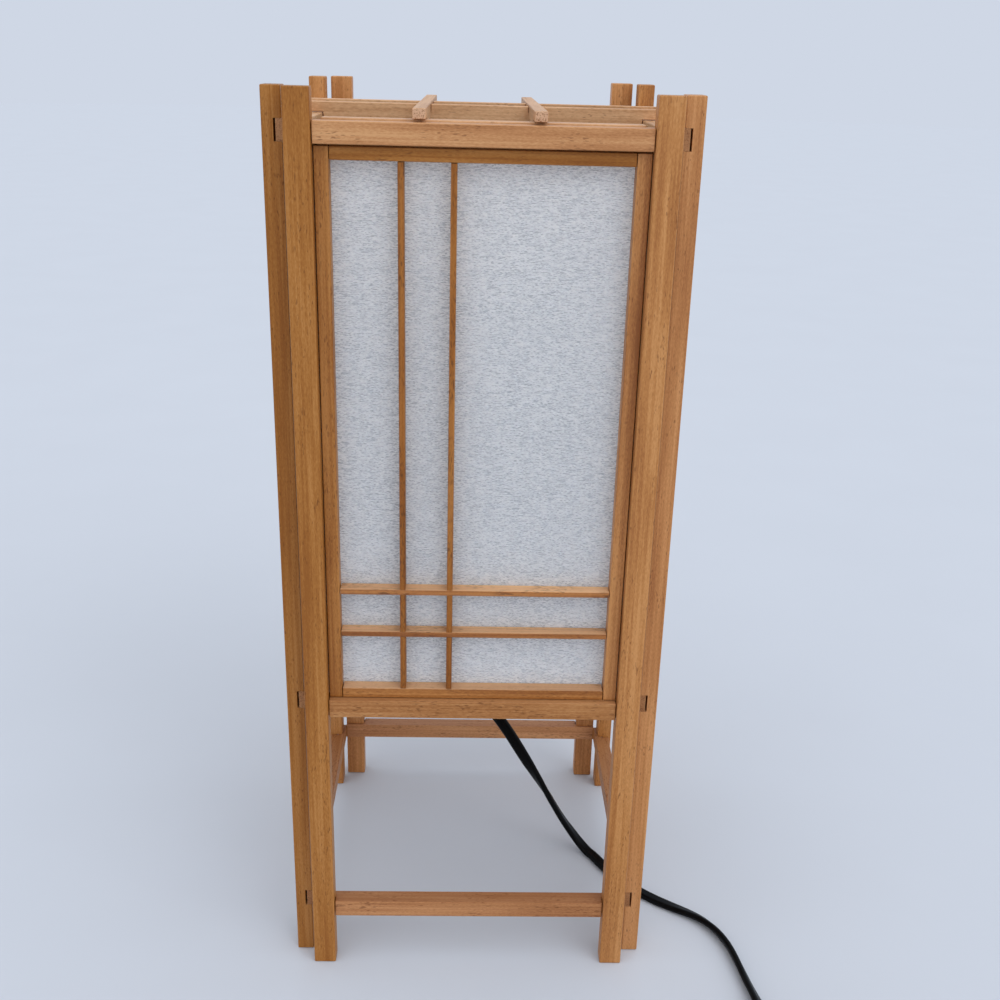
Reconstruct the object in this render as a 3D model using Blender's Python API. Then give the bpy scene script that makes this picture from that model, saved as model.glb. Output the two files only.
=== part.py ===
"""Shoji table lamp: four post-and-rail frames, paper panels, a loose top grille, lamp and lead."""
import math

import bpy
import bmesh
import numpy as np
from mathutils import Vector

MM = 0.001

# Overall lamp
WIDTH = 180 * MM
HEIGHT = 432 * MM
FIT = 0.3 * MM

# Posts: two to a side, eight in all, standing a step in from the corner
POST_FACE = 11 * MM
POST_DEPTH = 8.3 * MM
CORNER_STEP = 10 * MM
POST_EDGE = 0.5 * MM

# Rails: upper, lower and foot stretcher on each side, tongued across the inside of the posts
RAIL_HEIGHT = 9 * MM
RAIL_RECESS = 1.5 * MM
NOTCH_FLOOR = 4.9 * MM
TONGUE_SLIT = 0.9 * MM
CORNER_GAP = 0.2 * MM
RAIL_EDGE = 0.4 * MM
UPPER_RAIL_DROP = 12.8 * MM
LEDGE_DEPTH = 8.8 * MM
LEDGE_INSET = 14 * MM
LOWER_RAIL_Z = 146.4 * MM
STRETCHER_Z = 28.5 * MM

# Panels: stiles, two rails, crossed bars and paper, one panel to a side
PANEL_SETBACK = 4.8 * MM
PANEL_DEPTH = 7 * MM
PANEL_SIDE_GAP = 0.4 * MM
PANEL_TOP_GAP = 0.9 * MM
STILE_WIDTH = 6 * MM
PANEL_TOP_RAIL = 5.4 * MM
PANEL_BOTTOM_RAIL = 4.9 * MM
PANEL_EDGE = 0.25 * MM
BAR_WIDTH = 2.6 * MM
FIRST_BAR_GAP = 27.8 * MM
BAR_SPACING = 21.7 * MM
PAPER_THICK = 0.4 * MM
PAPER_MARGIN = 1.2 * MM

# Loose grille: two bars on edge that rest on the side rails and their ledges, and two strips halved over them
GRILLE_SHIFT = -11.5 * MM
GRILLE_BAR_THICK = 4 * MM
GRILLE_BAR_HEIGHT = 6.7 * MM
GRILLE_BAR_DROP = 2.3 * MM
GRILLE_BAR_SPACING = 30 * MM
GRILLE_BAR_INSET = 2.5 * MM
STRIP_WIDTH = 5.4 * MM
STRIP_HEIGHT = 6.3 * MM
STRIP_PROUD = 0.7 * MM
STRIP_PLAY = 1.6 * MM
STRIP_END = 16.2 * MM
STRIP_END_CUT = 2.1 * MM
STRIP_SPACING = 49 * MM
STRIP_SHIFT = -1.6 * MM
HALVING_SHARE = 0.55

# Lamp bar, holder and bulb
LAMP_BAR_WIDTH = 32 * MM
LAMP_BAR_THICK = 8 * MM
LAMP_BAR_RAISE = 0.5 * MM
STEM_RADIUS = 5 * MM
HOLDER_FLANGE = 17 * MM
HOLDER_RADIUS = 14 * MM
HOLDER_HEIGHT = 42 * MM
HOLDER_FLOOR = 17 * MM
CAP_RADIUS = 6.9 * MM
CAP_LENGTH = 27.5 * MM
CAP_PLAY = 0.6 * MM
BULB_RADIUS = 22.5 * MM
BULB_LENGTH = 54 * MM

# Lead
CORD_D = 5 * MM
CORD_WIDTH = 6.4 * MM
FLOOR_LIFT = 0.1 * MM
RELIEF_LENGTH = 20 * MM
RELIEF_RADIUS = 9 * MM
CORD_STEP = 2.4

# Switch on the lead
SWITCH_X = 147.5 * MM
SWITCH_Y = -175 * MM
SWITCH_LENGTH = 62 * MM
SWITCH_WIDTH = 26 * MM
SWITCH_HEIGHT = 18 * MM
SWITCH_EDGE = 4 * MM
ROCKER_LENGTH = 19 * MM
ROCKER_WIDTH = 13 * MM
ROCKER_PLAY = 0.7 * MM
ROCKER_TILT = math.radians(7)
POCKET_DEPTH = 7 * MM

# Coil of the spare lead, its tie and the plug
COIL_X = 86 * MM
COIL_Y = -194 * MM
COIL_OUTER = 43.3 * MM
COIL_PITCH = 5.7 * MM
COIL_LAYER = 6.8 * MM
COIL_TURNS_A_LAYER = 3
COIL_POINTS_A_TURN = 24
COIL_RUN_OUT = 34 * MM
TIE_THICK = 1 * MM
TIE_WIDTH = 7 * MM
TIE_PLAY = 0.5 * MM
PLUG_LENGTH = 36 * MM
PLUG_FACE = 35 * MM
PLUG_TAIL = 11 * MM
PLUG_THICK = 14 * MM
PIN_RADIUS = 2 * MM
PIN_LENGTH = 19 * MM
PIN_SPACING = 18.6 * MM

# Places that follow from the sizes
HALF = WIDTH / 2
POST_OUT = HALF - CORNER_STEP
POST_IN = POST_OUT - POST_FACE
RAIL_BACK = POST_OUT + CORNER_GAP
UPPER_RAIL_Z = HEIGHT - UPPER_RAIL_DROP - RAIL_HEIGHT
RAILS = {"stretcher": STRETCHER_Z, "lower_rail": LOWER_RAIL_Z, "upper_rail": UPPER_RAIL_Z}
SIDES = ("front", "right", "back", "left")
CORD_Z = CORD_D / 2 + FLOOR_LIFT

WOOD = (0.50, 0.23, 0.09)
PALE_WOOD = (0.58, 0.31, 0.14)
PAPER = (0.88, 0.87, 0.84)
BLACK = (0.012, 0.012, 0.013)
WHITE = (0.8, 0.8, 0.78)
METAL = (0.6, 0.6, 0.58)


def material(name, colour, rough, metal=0.0):
    """Return a new plain material for one sub-part."""
    mat = bpy.data.materials.new(name + "_mat")
    mat.use_nodes = True
    shader = mat.node_tree.nodes["Principled BSDF"]
    shader.inputs["Base Color"].default_value = (*colour, 1.0)
    shader.inputs["Roughness"].default_value = rough
    shader.inputs["Metallic"].default_value = metal
    return mat


def turned(point, side):
    """Turn a point of the front side about the upright axis to the side with this number."""
    x, y, z = point
    for _ in range(side):
        x, y = -y, x
    return (x, y, z)


def solid(name, verts, faces, colour, rough=0.5, metal=0.0, smooth=False, origin=(0.0, 0.0, 0.0)):
    """Make one closed mesh object with outward faces, its origin at the given point."""
    base = Vector(origin)
    mesh = bpy.data.meshes.new(name)
    mesh.from_pydata([Vector(v) - base for v in verts], [], faces)
    work = bmesh.new()
    work.from_mesh(mesh)
    bmesh.ops.recalc_face_normals(work, faces=work.faces)
    work.to_mesh(mesh)
    work.free()
    if smooth:
        mesh.shade_smooth()
    thing = bpy.data.objects.new(name, mesh)
    thing.location = base
    bpy.context.collection.objects.link(thing)
    mesh.materials.append(material(name, colour, rough, metal))
    return thing


def prism(name, outline, axis, low, high, colour, side=0, **more):
    """Push a flat outline along x, y or z from low to high and turn it to a side."""
    def place(a, b, c):
        if axis == "x":
            return (c, a, b)
        if axis == "y":
            return (a, c, b)
        return (a, b, c)

    count = len(outline)
    verts = [turned(place(a, b, low), side) for a, b in outline]
    verts += [turned(place(a, b, high), side) for a, b in outline]
    faces = [tuple(range(count)), tuple(range(2 * count - 1, count - 1, -1))]
    faces += [(i, (i + 1) % count, count + (i + 1) % count, count + i) for i in range(count)]
    return solid(name, verts, faces, colour, **more)


def block(name, low, high, colour, side=0, **more):
    """Make a box between two corner points and turn it to a side."""
    outline = [(low[0], low[1]), (high[0], low[1]), (high[0], high[1]), (low[0], high[1])]
    return prism(name, outline, "z", low[2], high[2], colour, side, **more)


def lathe(name, profile, colour, segments=32, **more):
    """Spin a profile of (radius, height) pairs about the upright axis; it starts and ends on the axis."""
    ring = profile[1:-1]
    verts = [(0.0, 0.0, profile[0][1])]
    for radius, z in ring:
        for i in range(segments):
            turn = 2 * math.pi * i / segments
            verts.append((radius * math.cos(turn), radius * math.sin(turn), z))
    verts.append((0.0, 0.0, profile[-1][1]))
    last = len(verts) - 1
    faces = []
    for i in range(segments):
        j = (i + 1) % segments
        faces.append((0, 1 + j, 1 + i))
        for k in range(len(ring) - 1):
            a = 1 + k * segments
            b = a + segments
            faces.append((a + i, a + j, b + j, b + i))
        top = 1 + (len(ring) - 1) * segments
        faces.append((top + i, top + j, last))
    thing = solid(name, verts, faces, colour, smooth=True, **more)
    thing.data.set_sharp_from_angle(angle=math.radians(40))
    return thing


def soften(thing, width, segments=1):
    """Break the sharp edges of a piece."""
    bevel = thing.modifiers.new("edges", "BEVEL")
    bevel.width = width
    bevel.segments = segments
    bevel.limit_method = "ANGLE"
    bevel.angle_limit = math.radians(40)
    bevel.use_clamp_overlap = True


def combine(thing, other, operation):
    """Cut or join another solid with a Boolean and hide that solid."""
    step = thing.modifiers.new(other.name, "BOOLEAN")
    step.operation = operation
    step.solver = "EXACT"
    step.object = other
    other.hide_render = True
    other.display_type = "WIRE"


def drum(name, centre, axis, radius, low, high, colour=METAL, segments=24):
    """Make a cylinder along x or z for cutting or joining."""
    points = [(radius * math.cos(2 * math.pi * i / segments), radius * math.sin(2 * math.pi * i / segments))
              for i in range(segments)]
    if axis == "x":
        outline = [(centre[1] + a, centre[2] + b) for a, b in points]
    else:
        outline = [(centre[0] + a, centre[1] + b) for a, b in points]
    return prism(name, outline, axis, low, high, colour)


def build_posts(side, label):
    """Two posts of one side, notched on the inside for the tongues of its three rails."""
    inner = -(HALF - POST_DEPTH)
    floor = -(HALF - NOTCH_FLOOR)
    outline = [(-HALF, 0.0), (inner, 0.0)]
    for z in sorted(RAILS.values()):
        outline += [(inner, z - FIT), (floor, z - FIT)]
        outline += [(floor, z + RAIL_HEIGHT + FIT), (inner, z + RAIL_HEIGHT + FIT)]
    outline += [(inner, HEIGHT), (-HALF, HEIGHT)]
    for hand, low, high in (("left", -POST_OUT, -POST_IN), ("right", POST_IN, POST_OUT)):
        post = prism("post_" + label + "_" + hand, outline, "x", low, high, WOOD, side)
        soften(post, POST_EDGE)


def build_rails(side, label):
    """Three rails of one side, each with a thinner tongue across both posts; the upper one has a ledge inside."""
    outer = -(HALF - RAIL_RECESS)
    tongue = -(HALF - NOTCH_FLOOR - TONGUE_SLIT)
    inner = -RAIL_BACK
    shoulder = POST_IN - FIT
    outline = [(-shoulder, outer), (shoulder, outer), (shoulder, tongue), (POST_OUT, tongue)]
    outline += [(POST_OUT, inner), (-POST_OUT, inner), (-POST_OUT, tongue), (-shoulder, tongue)]
    reach = POST_OUT - LEDGE_INSET
    brink = inner + LEDGE_DEPTH
    ledge = [(reach, inner), (reach, brink), (-reach, brink), (-reach, inner)]
    for name, z in RAILS.items():
        shape = outline[:5] + ledge + outline[5:] if name == "upper_rail" else outline
        rail = prism(name + "_" + label, shape, "z", z, z + RAIL_HEIGHT, WOOD, side)
        soften(rail, RAIL_EDGE)


def lattice(name, x_cuts, z_cuts, solid_columns, solid_rows, front, back, side):
    """Make crossed bars as one piece from the cells of a grid that lie in a bar's column or row."""
    columns = len(x_cuts) - 1
    rows = len(z_cuts) - 1
    filled = {(i, j) for i in range(columns) for j in range(rows) if i in solid_columns or j in solid_rows}
    index = {}
    verts = []

    def corner(i, j, y):
        key = (i, j, y)
        if key not in index:
            index[key] = len(verts)
            verts.append(turned((x_cuts[i], y, z_cuts[j]), side))
        return index[key]

    faces = []
    for i, j in sorted(filled):
        ring = [(i, j), (i + 1, j), (i + 1, j + 1), (i, j + 1)]
        faces.append(tuple(corner(a, b, front) for a, b in ring))
        faces.append(tuple(corner(a, b, back) for a, b in reversed(ring)))
        steps = [(i, j - 1), (i + 1, j), (i, j + 1), (i - 1, j)]
        for k, cell in enumerate(steps):
            if cell not in filled:
                a = ring[k]
                b = ring[(k + 1) % 4]
                faces.append((corner(*a, front), corner(*a, back), corner(*b, back), corner(*b, front)))
    return solid(name, verts, faces, PALE_WOOD)


def build_panel(side, label):
    """One paper panel: two stiles, two rails between them, crossed bars and the sheet behind."""
    front = -(HALF - PANEL_SETBACK)
    back = front + PANEL_DEPTH
    wide = POST_IN - PANEL_SIDE_GAP
    clear = wide - STILE_WIDTH
    low = LOWER_RAIL_Z + RAIL_HEIGHT + FIT
    high = UPPER_RAIL_Z - PANEL_TOP_GAP
    pieces = {
        "stile_left": ((-wide, front, low), (-clear, back, high)),
        "stile_right": ((clear, front, low), (wide, back, high)),
        "top_rail": ((-clear + FIT, front, high - PANEL_TOP_RAIL), (clear - FIT, back, high)),
        "bottom_rail": ((-clear + FIT, front, low), (clear - FIT, back, low + PANEL_BOTTOM_RAIL)),
    }
    for name, (a, b) in pieces.items():
        piece = block("panel_" + label + "_" + name, a, b, PALE_WOOD, side)
        soften(piece, PANEL_EDGE)
    first_x = -clear + FIRST_BAR_GAP
    first_z = low + PANEL_BOTTOM_RAIL + FIRST_BAR_GAP
    second_x = first_x + BAR_SPACING
    second_z = first_z + BAR_SPACING
    x_cuts = [-clear + FIT, first_x, first_x + BAR_WIDTH, second_x, second_x + BAR_WIDTH, clear - FIT]
    z_cuts = [low + PANEL_BOTTOM_RAIL + FIT, first_z, first_z + BAR_WIDTH, second_z, second_z + BAR_WIDTH,
              high - PANEL_TOP_RAIL - FIT]
    lattice("panel_" + label + "_kumiko", x_cuts, z_cuts, (1, 3), (1, 3), front, back, side)
    edge = PAPER_MARGIN
    block("panel_" + label + "_paper", (-wide + edge, back + FIT, low + edge),
          (wide - edge, back + FIT + PAPER_THICK, high - edge), PAPER, side, rough=0.9)


def build_grille():
    """Loose grille: two bars on edge with stepped ends on the side rails, and two strips halved over them."""
    seat = UPPER_RAIL_Z + RAIL_HEIGHT + FIT
    low = seat - GRILLE_BAR_DROP
    high = low + GRILLE_BAR_HEIGHT
    floor = low + GRILLE_BAR_HEIGHT * HALVING_SHARE
    reach = HALF - GRILLE_BAR_INSET
    brink = RAIL_BACK - LEDGE_DEPTH
    shoulder = brink - FIT
    columns = (STRIP_SHIFT - STRIP_SPACING / 2, STRIP_SHIFT + STRIP_SPACING / 2)
    rows = (GRILLE_SHIFT - GRILLE_BAR_SPACING / 2, GRILLE_SHIFT + GRILLE_BAR_SPACING / 2)
    slot = STRIP_WIDTH / 2 + FIT
    outline = [(-shoulder, low), (shoulder, low), (shoulder, seat), (reach, seat), (reach, high)]
    for x in reversed(columns):
        outline += [(x + slot, high), (x + slot, floor), (x - slot, floor), (x - slot, high)]
    outline += [(-reach, high), (-reach, seat), (-shoulder, seat)]
    half = GRILLE_BAR_THICK / 2
    for end, y in zip(("front", "back"), rows):
        bar = prism("grille_bar_" + end, outline, "y", y - half, y + half, PALE_WOOD)
        soften(bar, RAIL_EDGE)
    top = high + STRIP_PROUD
    base = top - STRIP_HEIGHT
    raised = base + STRIP_END_CUT
    body = brink - abs(GRILLE_SHIFT) - STRIP_PLAY
    tip = body + STRIP_END
    slot = GRILLE_BAR_THICK / 2 + FIT
    roof = floor + FIT
    outline = [(GRILLE_SHIFT - tip, raised), (GRILLE_SHIFT - body, raised), (GRILLE_SHIFT - body, base)]
    for y in rows:
        outline += [(y - slot, base), (y - slot, roof), (y + slot, roof), (y + slot, base)]
    outline += [(GRILLE_SHIFT + body, base), (GRILLE_SHIFT + body, raised), (GRILLE_SHIFT + tip, raised)]
    outline += [(GRILLE_SHIFT + tip, top), (GRILLE_SHIFT - tip, top)]
    half = STRIP_WIDTH / 2
    for hand, x in zip(("left", "right"), columns):
        strip = prism("grille_strip_" + hand, outline, "x", x - half, x + half, PALE_WOOD)
        soften(strip, RAIL_EDGE)


def build_lamp():
    """Wooden bar between the side rails with the lamp holder, bulb and strain relief. Returns the cord's top."""
    low = LOWER_RAIL_Z + LAMP_BAR_RAISE
    high = low + LAMP_BAR_THICK
    reach = RAIL_BACK - FIT
    bar = block("lamp_bar", (-reach, -LAMP_BAR_WIDTH / 2, low), (reach, LAMP_BAR_WIDTH / 2, high), WOOD)
    soften(bar, RAIL_EDGE)
    hole = drum("lamp_bar_hole", (0.0, 0.0, 0.0), "z", STEM_RADIUS + FIT, low - FIT, high + FIT)
    combine(bar, hole, "DIFFERENCE")
    seat = high + FIT
    top = seat + HOLDER_HEIGHT
    floor = seat + HOLDER_FLOOR
    bore = CAP_RADIUS + CAP_PLAY
    lathe("holder_body", [(0.0, low), (STEM_RADIUS, low), (STEM_RADIUS, seat), (HOLDER_FLANGE, seat),
                          (HOLDER_FLANGE, seat + 4 * MM), (HOLDER_RADIUS + 0.5 * MM, seat + 7 * MM),
                          (HOLDER_RADIUS, top - 1 * MM), (HOLDER_RADIUS - 1 * MM, top), (bore, top), (bore, floor),
                          (0.0, floor)], BLACK, rough=0.4)
    tip = floor + FIT
    neck = tip + CAP_LENGTH
    lathe("bulb_cap", [(0.0, tip), (0.38 * CAP_RADIUS, tip), (0.66 * CAP_RADIUS, tip + 2.5 * MM),
                       (CAP_RADIUS, tip + 4.5 * MM), (CAP_RADIUS, neck), (0.0, neck)], METAL, rough=0.3, metal=1.0)
    glass = neck + FIT
    curve = ((0.29, 0.0), (0.38, 0.07), (0.58, 0.18), (0.84, 0.33), (0.975, 0.48), (1.0, 0.58), (0.97, 0.68),
             (0.85, 0.81), (0.62, 0.915), (0.32, 0.98))
    profile = [(0.0, glass)]
    profile += [(r * BULB_RADIUS, glass + h * BULB_LENGTH) for r, h in curve]
    profile.append((0.0, glass + BULB_LENGTH))
    lathe("bulb_glass", profile, WHITE, rough=0.35)
    collar = low - FIT
    end = collar - RELIEF_LENGTH
    lathe("strain_relief", [(0.0, end), (0.86 * CORD_D, end), (1.25 * CORD_D, collar - 7 * MM),
                            (RELIEF_RADIUS - 1 * MM, collar - 6 * MM), (RELIEF_RADIUS, collar - 5 * MM),
                            (RELIEF_RADIUS, collar), (0.0, collar)], BLACK, rough=0.45)
    return end - FIT


def smooth_through(points):
    """Return evenly spaced points on a natural cubic curve through hand-chosen points; both end legs stay straight."""
    knots = np.array(points[1:-1])
    count = len(knots)
    t = np.concatenate([[0.0], np.cumsum(np.linalg.norm(np.diff(knots, axis=0), axis=1))])
    h = np.diff(t)
    left = np.eye(count)
    right = np.zeros((count, 3))
    for i in range(1, count - 1):
        left[i, i - 1:i + 2] = (h[i - 1], 2 * (h[i - 1] + h[i]), h[i])
        right[i] = 6 * ((knots[i + 1] - knots[i]) / h[i] - (knots[i] - knots[i - 1]) / h[i - 1])
    bend = np.linalg.solve(left, right)
    fine = []
    for i in range(count - 1):
        for s in np.linspace(0.0, 1.0, 40, endpoint=i == count - 2):
            a = 1 - s
            part = a * knots[i] + s * knots[i + 1]
            part = part + ((a ** 3 - a) * bend[i] + (s ** 3 - s) * bend[i + 1]) * h[i] ** 2 / 6
            fine.append(part)
    fine = np.array(fine)
    run = np.concatenate([[0.0], np.cumsum(np.linalg.norm(np.diff(fine, axis=0), axis=1))])
    steps = max(2, int(round(run[-1] / (CORD_STEP * CORD_D))))
    even = np.linspace(0.0, run[-1], steps + 1)
    middle = np.stack([np.interp(even, run, fine[:, k]) for k in range(3)], axis=1)
    return np.vstack([points[0], middle, points[-1]])


def tube(name, points, resolution):
    """Make a round cord along a row of points. Returns its length."""
    curve = bpy.data.curves.new(name, "CURVE")
    curve.dimensions = "3D"
    curve.bevel_depth = CORD_D / 2
    curve.bevel_resolution = resolution
    curve.use_fill_caps = True
    spline = curve.splines.new("POLY")
    spline.points.add(len(points) - 1)
    for spot, point in zip(spline.points, points):
        spot.co = (*point, 1.0)
    thing = bpy.data.objects.new(name, curve)
    bpy.context.collection.objects.link(thing)
    curve.materials.append(material(name, BLACK, 0.35))
    return float(np.sum(np.linalg.norm(np.diff(np.array(points), axis=0), axis=1)))


def build_lead(top):
    """Lead from the strain relief down to the table, under the right stretcher and out to the switch."""
    entry = SWITCH_HEIGHT * 0.42
    start = SWITCH_Y + SWITCH_LENGTH / 2 + FIT
    air = ((0.0, 0.0, 1.0), (0.0, 0.0, 0.955), (3.6, 0.4, 0.878), (9.8, 1.2, 0.79), (16.4, 2.0, 0.709),
           (31.6, 4.0, 0.494), (46.6, 6.0, 0.272), (56.6, 6.6, 0.125), (63.6, 5.0, 0.05))
    floor = ((71.2, -0.6), (77.6, -11.0), (88.0, -26.0), (101.6, -39.6), (117.0, -50.6), (127.4, -58.4),
             (134.2, -67.5), (138.2, -76.9), (141.0, -89.3), (143.2, -104.0))
    points = [(x * MM, y * MM, CORD_Z + part * (top - CORD_Z)) for x, y, part in air]
    points += [(x * MM, y * MM, CORD_Z) for x, y in floor]
    points += [(145.4 * MM, -120.0 * MM, CORD_Z + 0.3 * (entry - CORD_Z))]
    points += [(SWITCH_X, start + CORD_D, entry), (SWITCH_X, start, entry)]
    return tube("cord_lead", smooth_through(points), 2)


def build_switch():
    """Switch on the lead: a case with a pocket and a rocker tilted to its off side."""
    low_y = SWITCH_Y - SWITCH_LENGTH / 2
    high_y = SWITCH_Y + SWITCH_LENGTH / 2
    half = SWITCH_WIDTH / 2
    outline = [(-0.55 * half, low_y), (0.55 * half, low_y), (half, low_y + 0.3 * SWITCH_LENGTH)]
    outline += [(half, high_y - 0.3 * SWITCH_LENGTH), (0.55 * half, high_y), (-0.55 * half, high_y)]
    outline += [(-half, high_y - 0.3 * SWITCH_LENGTH), (-half, low_y + 0.3 * SWITCH_LENGTH)]
    outline = [(SWITCH_X + x, y) for x, y in outline]
    case = prism("switch_body", outline, "z", 0.0, SWITCH_HEIGHT, BLACK, rough=0.4)
    soften(case, SWITCH_EDGE, 3)
    along = ROCKER_LENGTH / 2 + ROCKER_PLAY
    across = ROCKER_WIDTH / 2 + ROCKER_PLAY
    pocket = block("switch_pocket", (SWITCH_X - across, SWITCH_Y - along, SWITCH_HEIGHT - POCKET_DEPTH),
                   (SWITCH_X + across, SWITCH_Y + along, SWITCH_HEIGHT + POCKET_DEPTH), BLACK)
    combine(case, pocket, "DIFFERENCE")
    axle = SWITCH_HEIGHT - 0.25 * POCKET_DEPTH
    length = ROCKER_LENGTH / 2
    shape = [(-0.8 * length, -0.42 * POCKET_DEPTH), (0.8 * length, -0.42 * POCKET_DEPTH), (0.97 * length, 0.1 * POCKET_DEPTH),
             (0.97 * length, 0.52 * POCKET_DEPTH), (0.0, 0.3 * POCKET_DEPTH), (-0.97 * length, 0.52 * POCKET_DEPTH),
             (-0.97 * length, 0.1 * POCKET_DEPTH)]
    c = math.cos(ROCKER_TILT)
    s = math.sin(ROCKER_TILT)
    shape = [(SWITCH_Y + c * a - s * b, axle + s * a + c * b) for a, b in shape]
    rocker = prism("switch_rocker", shape, "x", SWITCH_X - ROCKER_WIDTH / 2, SWITCH_X + ROCKER_WIDTH / 2, BLACK,
                   rough=0.35, origin=(SWITCH_X, SWITCH_Y, axle))
    soften(rocker, 0.5 * MM)


def coil_points():
    """Loops of the spare lead: spiralling in on the table, climbing half a turn and spiralling out on top."""
    base = TIE_THICK + 2 * FIT + CORD_WIDTH / 2
    loops = 2 * COIL_TURNS_A_LAYER
    count = loops * COIL_POINTS_A_TURN
    points = [(COIL_X + CORD_D, COIL_Y - COIL_OUTER, base)]
    for i in range(count + 1):
        turn = i / COIL_POINTS_A_TURN
        inward = COIL_TURNS_A_LAYER - abs(turn - COIL_TURNS_A_LAYER)
        radius = COIL_OUTER - COIL_PITCH * inward
        climb = min(1.0, max(0.0, 2 * (turn - COIL_TURNS_A_LAYER) + 0.5))
        angle = 2 * math.pi * turn
        points.append((COIL_X - radius * math.sin(angle), COIL_Y - radius * math.cos(angle),
                       base + COIL_LAYER * climb * climb * (3 - 2 * climb)))
    drop = points[-1][2] - PLUG_THICK / 2
    for i in range(1, 6):
        part = i / 5
        ease = part * part * (3 - 2 * part)
        points.append((COIL_X - COIL_RUN_OUT * part, COIL_Y - COIL_OUTER, points[count + 1][2] - drop * ease))
    return points


def least_gap(points):
    """Smallest clear distance between stretches of a coil at least half a turn apart."""
    spots = np.array(points)
    best = 1.0
    for i in range(len(spots)):
        later = spots[i + COIL_POINTS_A_TURN // 2:]
        if len(later):
            best = min(best, float(np.min(np.linalg.norm(later - spots[i], axis=1))))
    return best - CORD_D


def build_coil():
    """Tail from the switch, coil, tie and plug."""
    loops = coil_points()
    first = loops[0]
    entry = SWITCH_HEIGHT * 0.42
    start = SWITCH_Y - SWITCH_LENGTH / 2 - FIT
    bend = min(start - CORD_D - first[1], SWITCH_X - first[0] - CORD_D)
    points = [(SWITCH_X, start, entry), (SWITCH_X, first[1] + bend, entry)]
    for i in range(1, 6):
        turn = math.pi / 2 * i / 6
        points.append((SWITCH_X - bend * (1 - math.cos(turn)), first[1] + bend * (1 - math.sin(turn)),
                       entry + (first[2] - entry) * i / 6))
    points += [(SWITCH_X - bend, first[1], first[2]), (first[0] + FIT, first[1], first[2])]
    tail = tube("cord_tail", smooth_through(points), 2)
    coil = tube("cord_coil", loops, 1)
    print("coil least self gap mm", round(least_gap(loops) / MM, 3))
    band = [p for p in loops[1:-5] if p[0] < COIL_X and abs(p[1] - COIL_Y) < TIE_WIDTH + COIL_PITCH]
    room = CORD_D / 2 + TIE_PLAY
    a0 = min(p[0] for p in band) - room
    a1 = max(p[0] for p in band) + room
    b0 = TIE_THICK
    b1 = max(p[2] for p in band) + CORD_WIDTH / 2 + TIE_PLAY
    inner = [(a0, b0), (a1, b0), (a1, b1), (a0, b1)]
    outer = [(a0 - TIE_THICK, 0.0), (a1 + TIE_THICK, 0.0), (a1 + TIE_THICK, b1 + TIE_THICK),
             (a0 - TIE_THICK, b1 + TIE_THICK)]
    tie = prism("coil_tie", outer, "y", COIL_Y - TIE_WIDTH / 2, COIL_Y + TIE_WIDTH / 2, BLACK, rough=0.6)
    window = prism("coil_tie_window", inner, "y", COIL_Y - TIE_WIDTH, COIL_Y + TIE_WIDTH, BLACK)
    combine(tie, window, "DIFFERENCE")
    build_plug(loops[-1])
    return tail + coil


def build_plug(cord_end):
    """Flat two-pin plug lying on the table at the end of the lead."""
    x = cord_end[0] - FIT
    y = cord_end[1]
    face = x - PLUG_LENGTH
    outline = [(x, y - PLUG_TAIL / 2), (x, y + PLUG_TAIL / 2), (x - 0.45 * PLUG_LENGTH, y + 0.36 * PLUG_FACE),
               (face + 0.2 * PLUG_LENGTH, y + PLUG_FACE / 2), (face, y + PLUG_FACE / 2),
               (face, y - PLUG_FACE / 2), (face + 0.2 * PLUG_LENGTH, y - PLUG_FACE / 2),
               (x - 0.45 * PLUG_LENGTH, y - 0.36 * PLUG_FACE)]
    body = prism("plug_body", outline, "z", 0.0, PLUG_THICK, BLACK, rough=0.4)
    soften(body, 2 * MM, 2)
    for number, shift in ((1, -PIN_SPACING / 2), (2, PIN_SPACING / 2)):
        pin = drum("plug_pin_" + str(number), (0.0, y + shift, PLUG_THICK / 2), "x", PIN_RADIUS, face - PIN_LENGTH,
                   face + 3 * MM, segments=16)
        combine(body, pin, "UNION")


def main():
    """Build every sub-part of the lamp."""
    for thing in list(bpy.data.objects):
        bpy.data.objects.remove(thing)
    for side, label in enumerate(SIDES):
        build_posts(side, label)
        build_rails(side, label)
        build_panel(side, label)
    build_grille()
    top = build_lamp()
    lead = build_lead(top)
    build_switch()
    rest = build_coil()
    print("lead length m", round(lead + rest + SWITCH_LENGTH, 3), "to the switch", round(lead, 3))


main()
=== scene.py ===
"""Looks of a shoji table lamp: wooden frames, paper panels, loose top grille, lamp fitting and mains lead."""
import logging
import math
import random
from dataclasses import dataclass, field
from enum import Enum
from typing import Callable, Iterable, Sequence

import bmesh
import bpy
import numpy as np
from mathutils import Matrix, Vector


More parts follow.
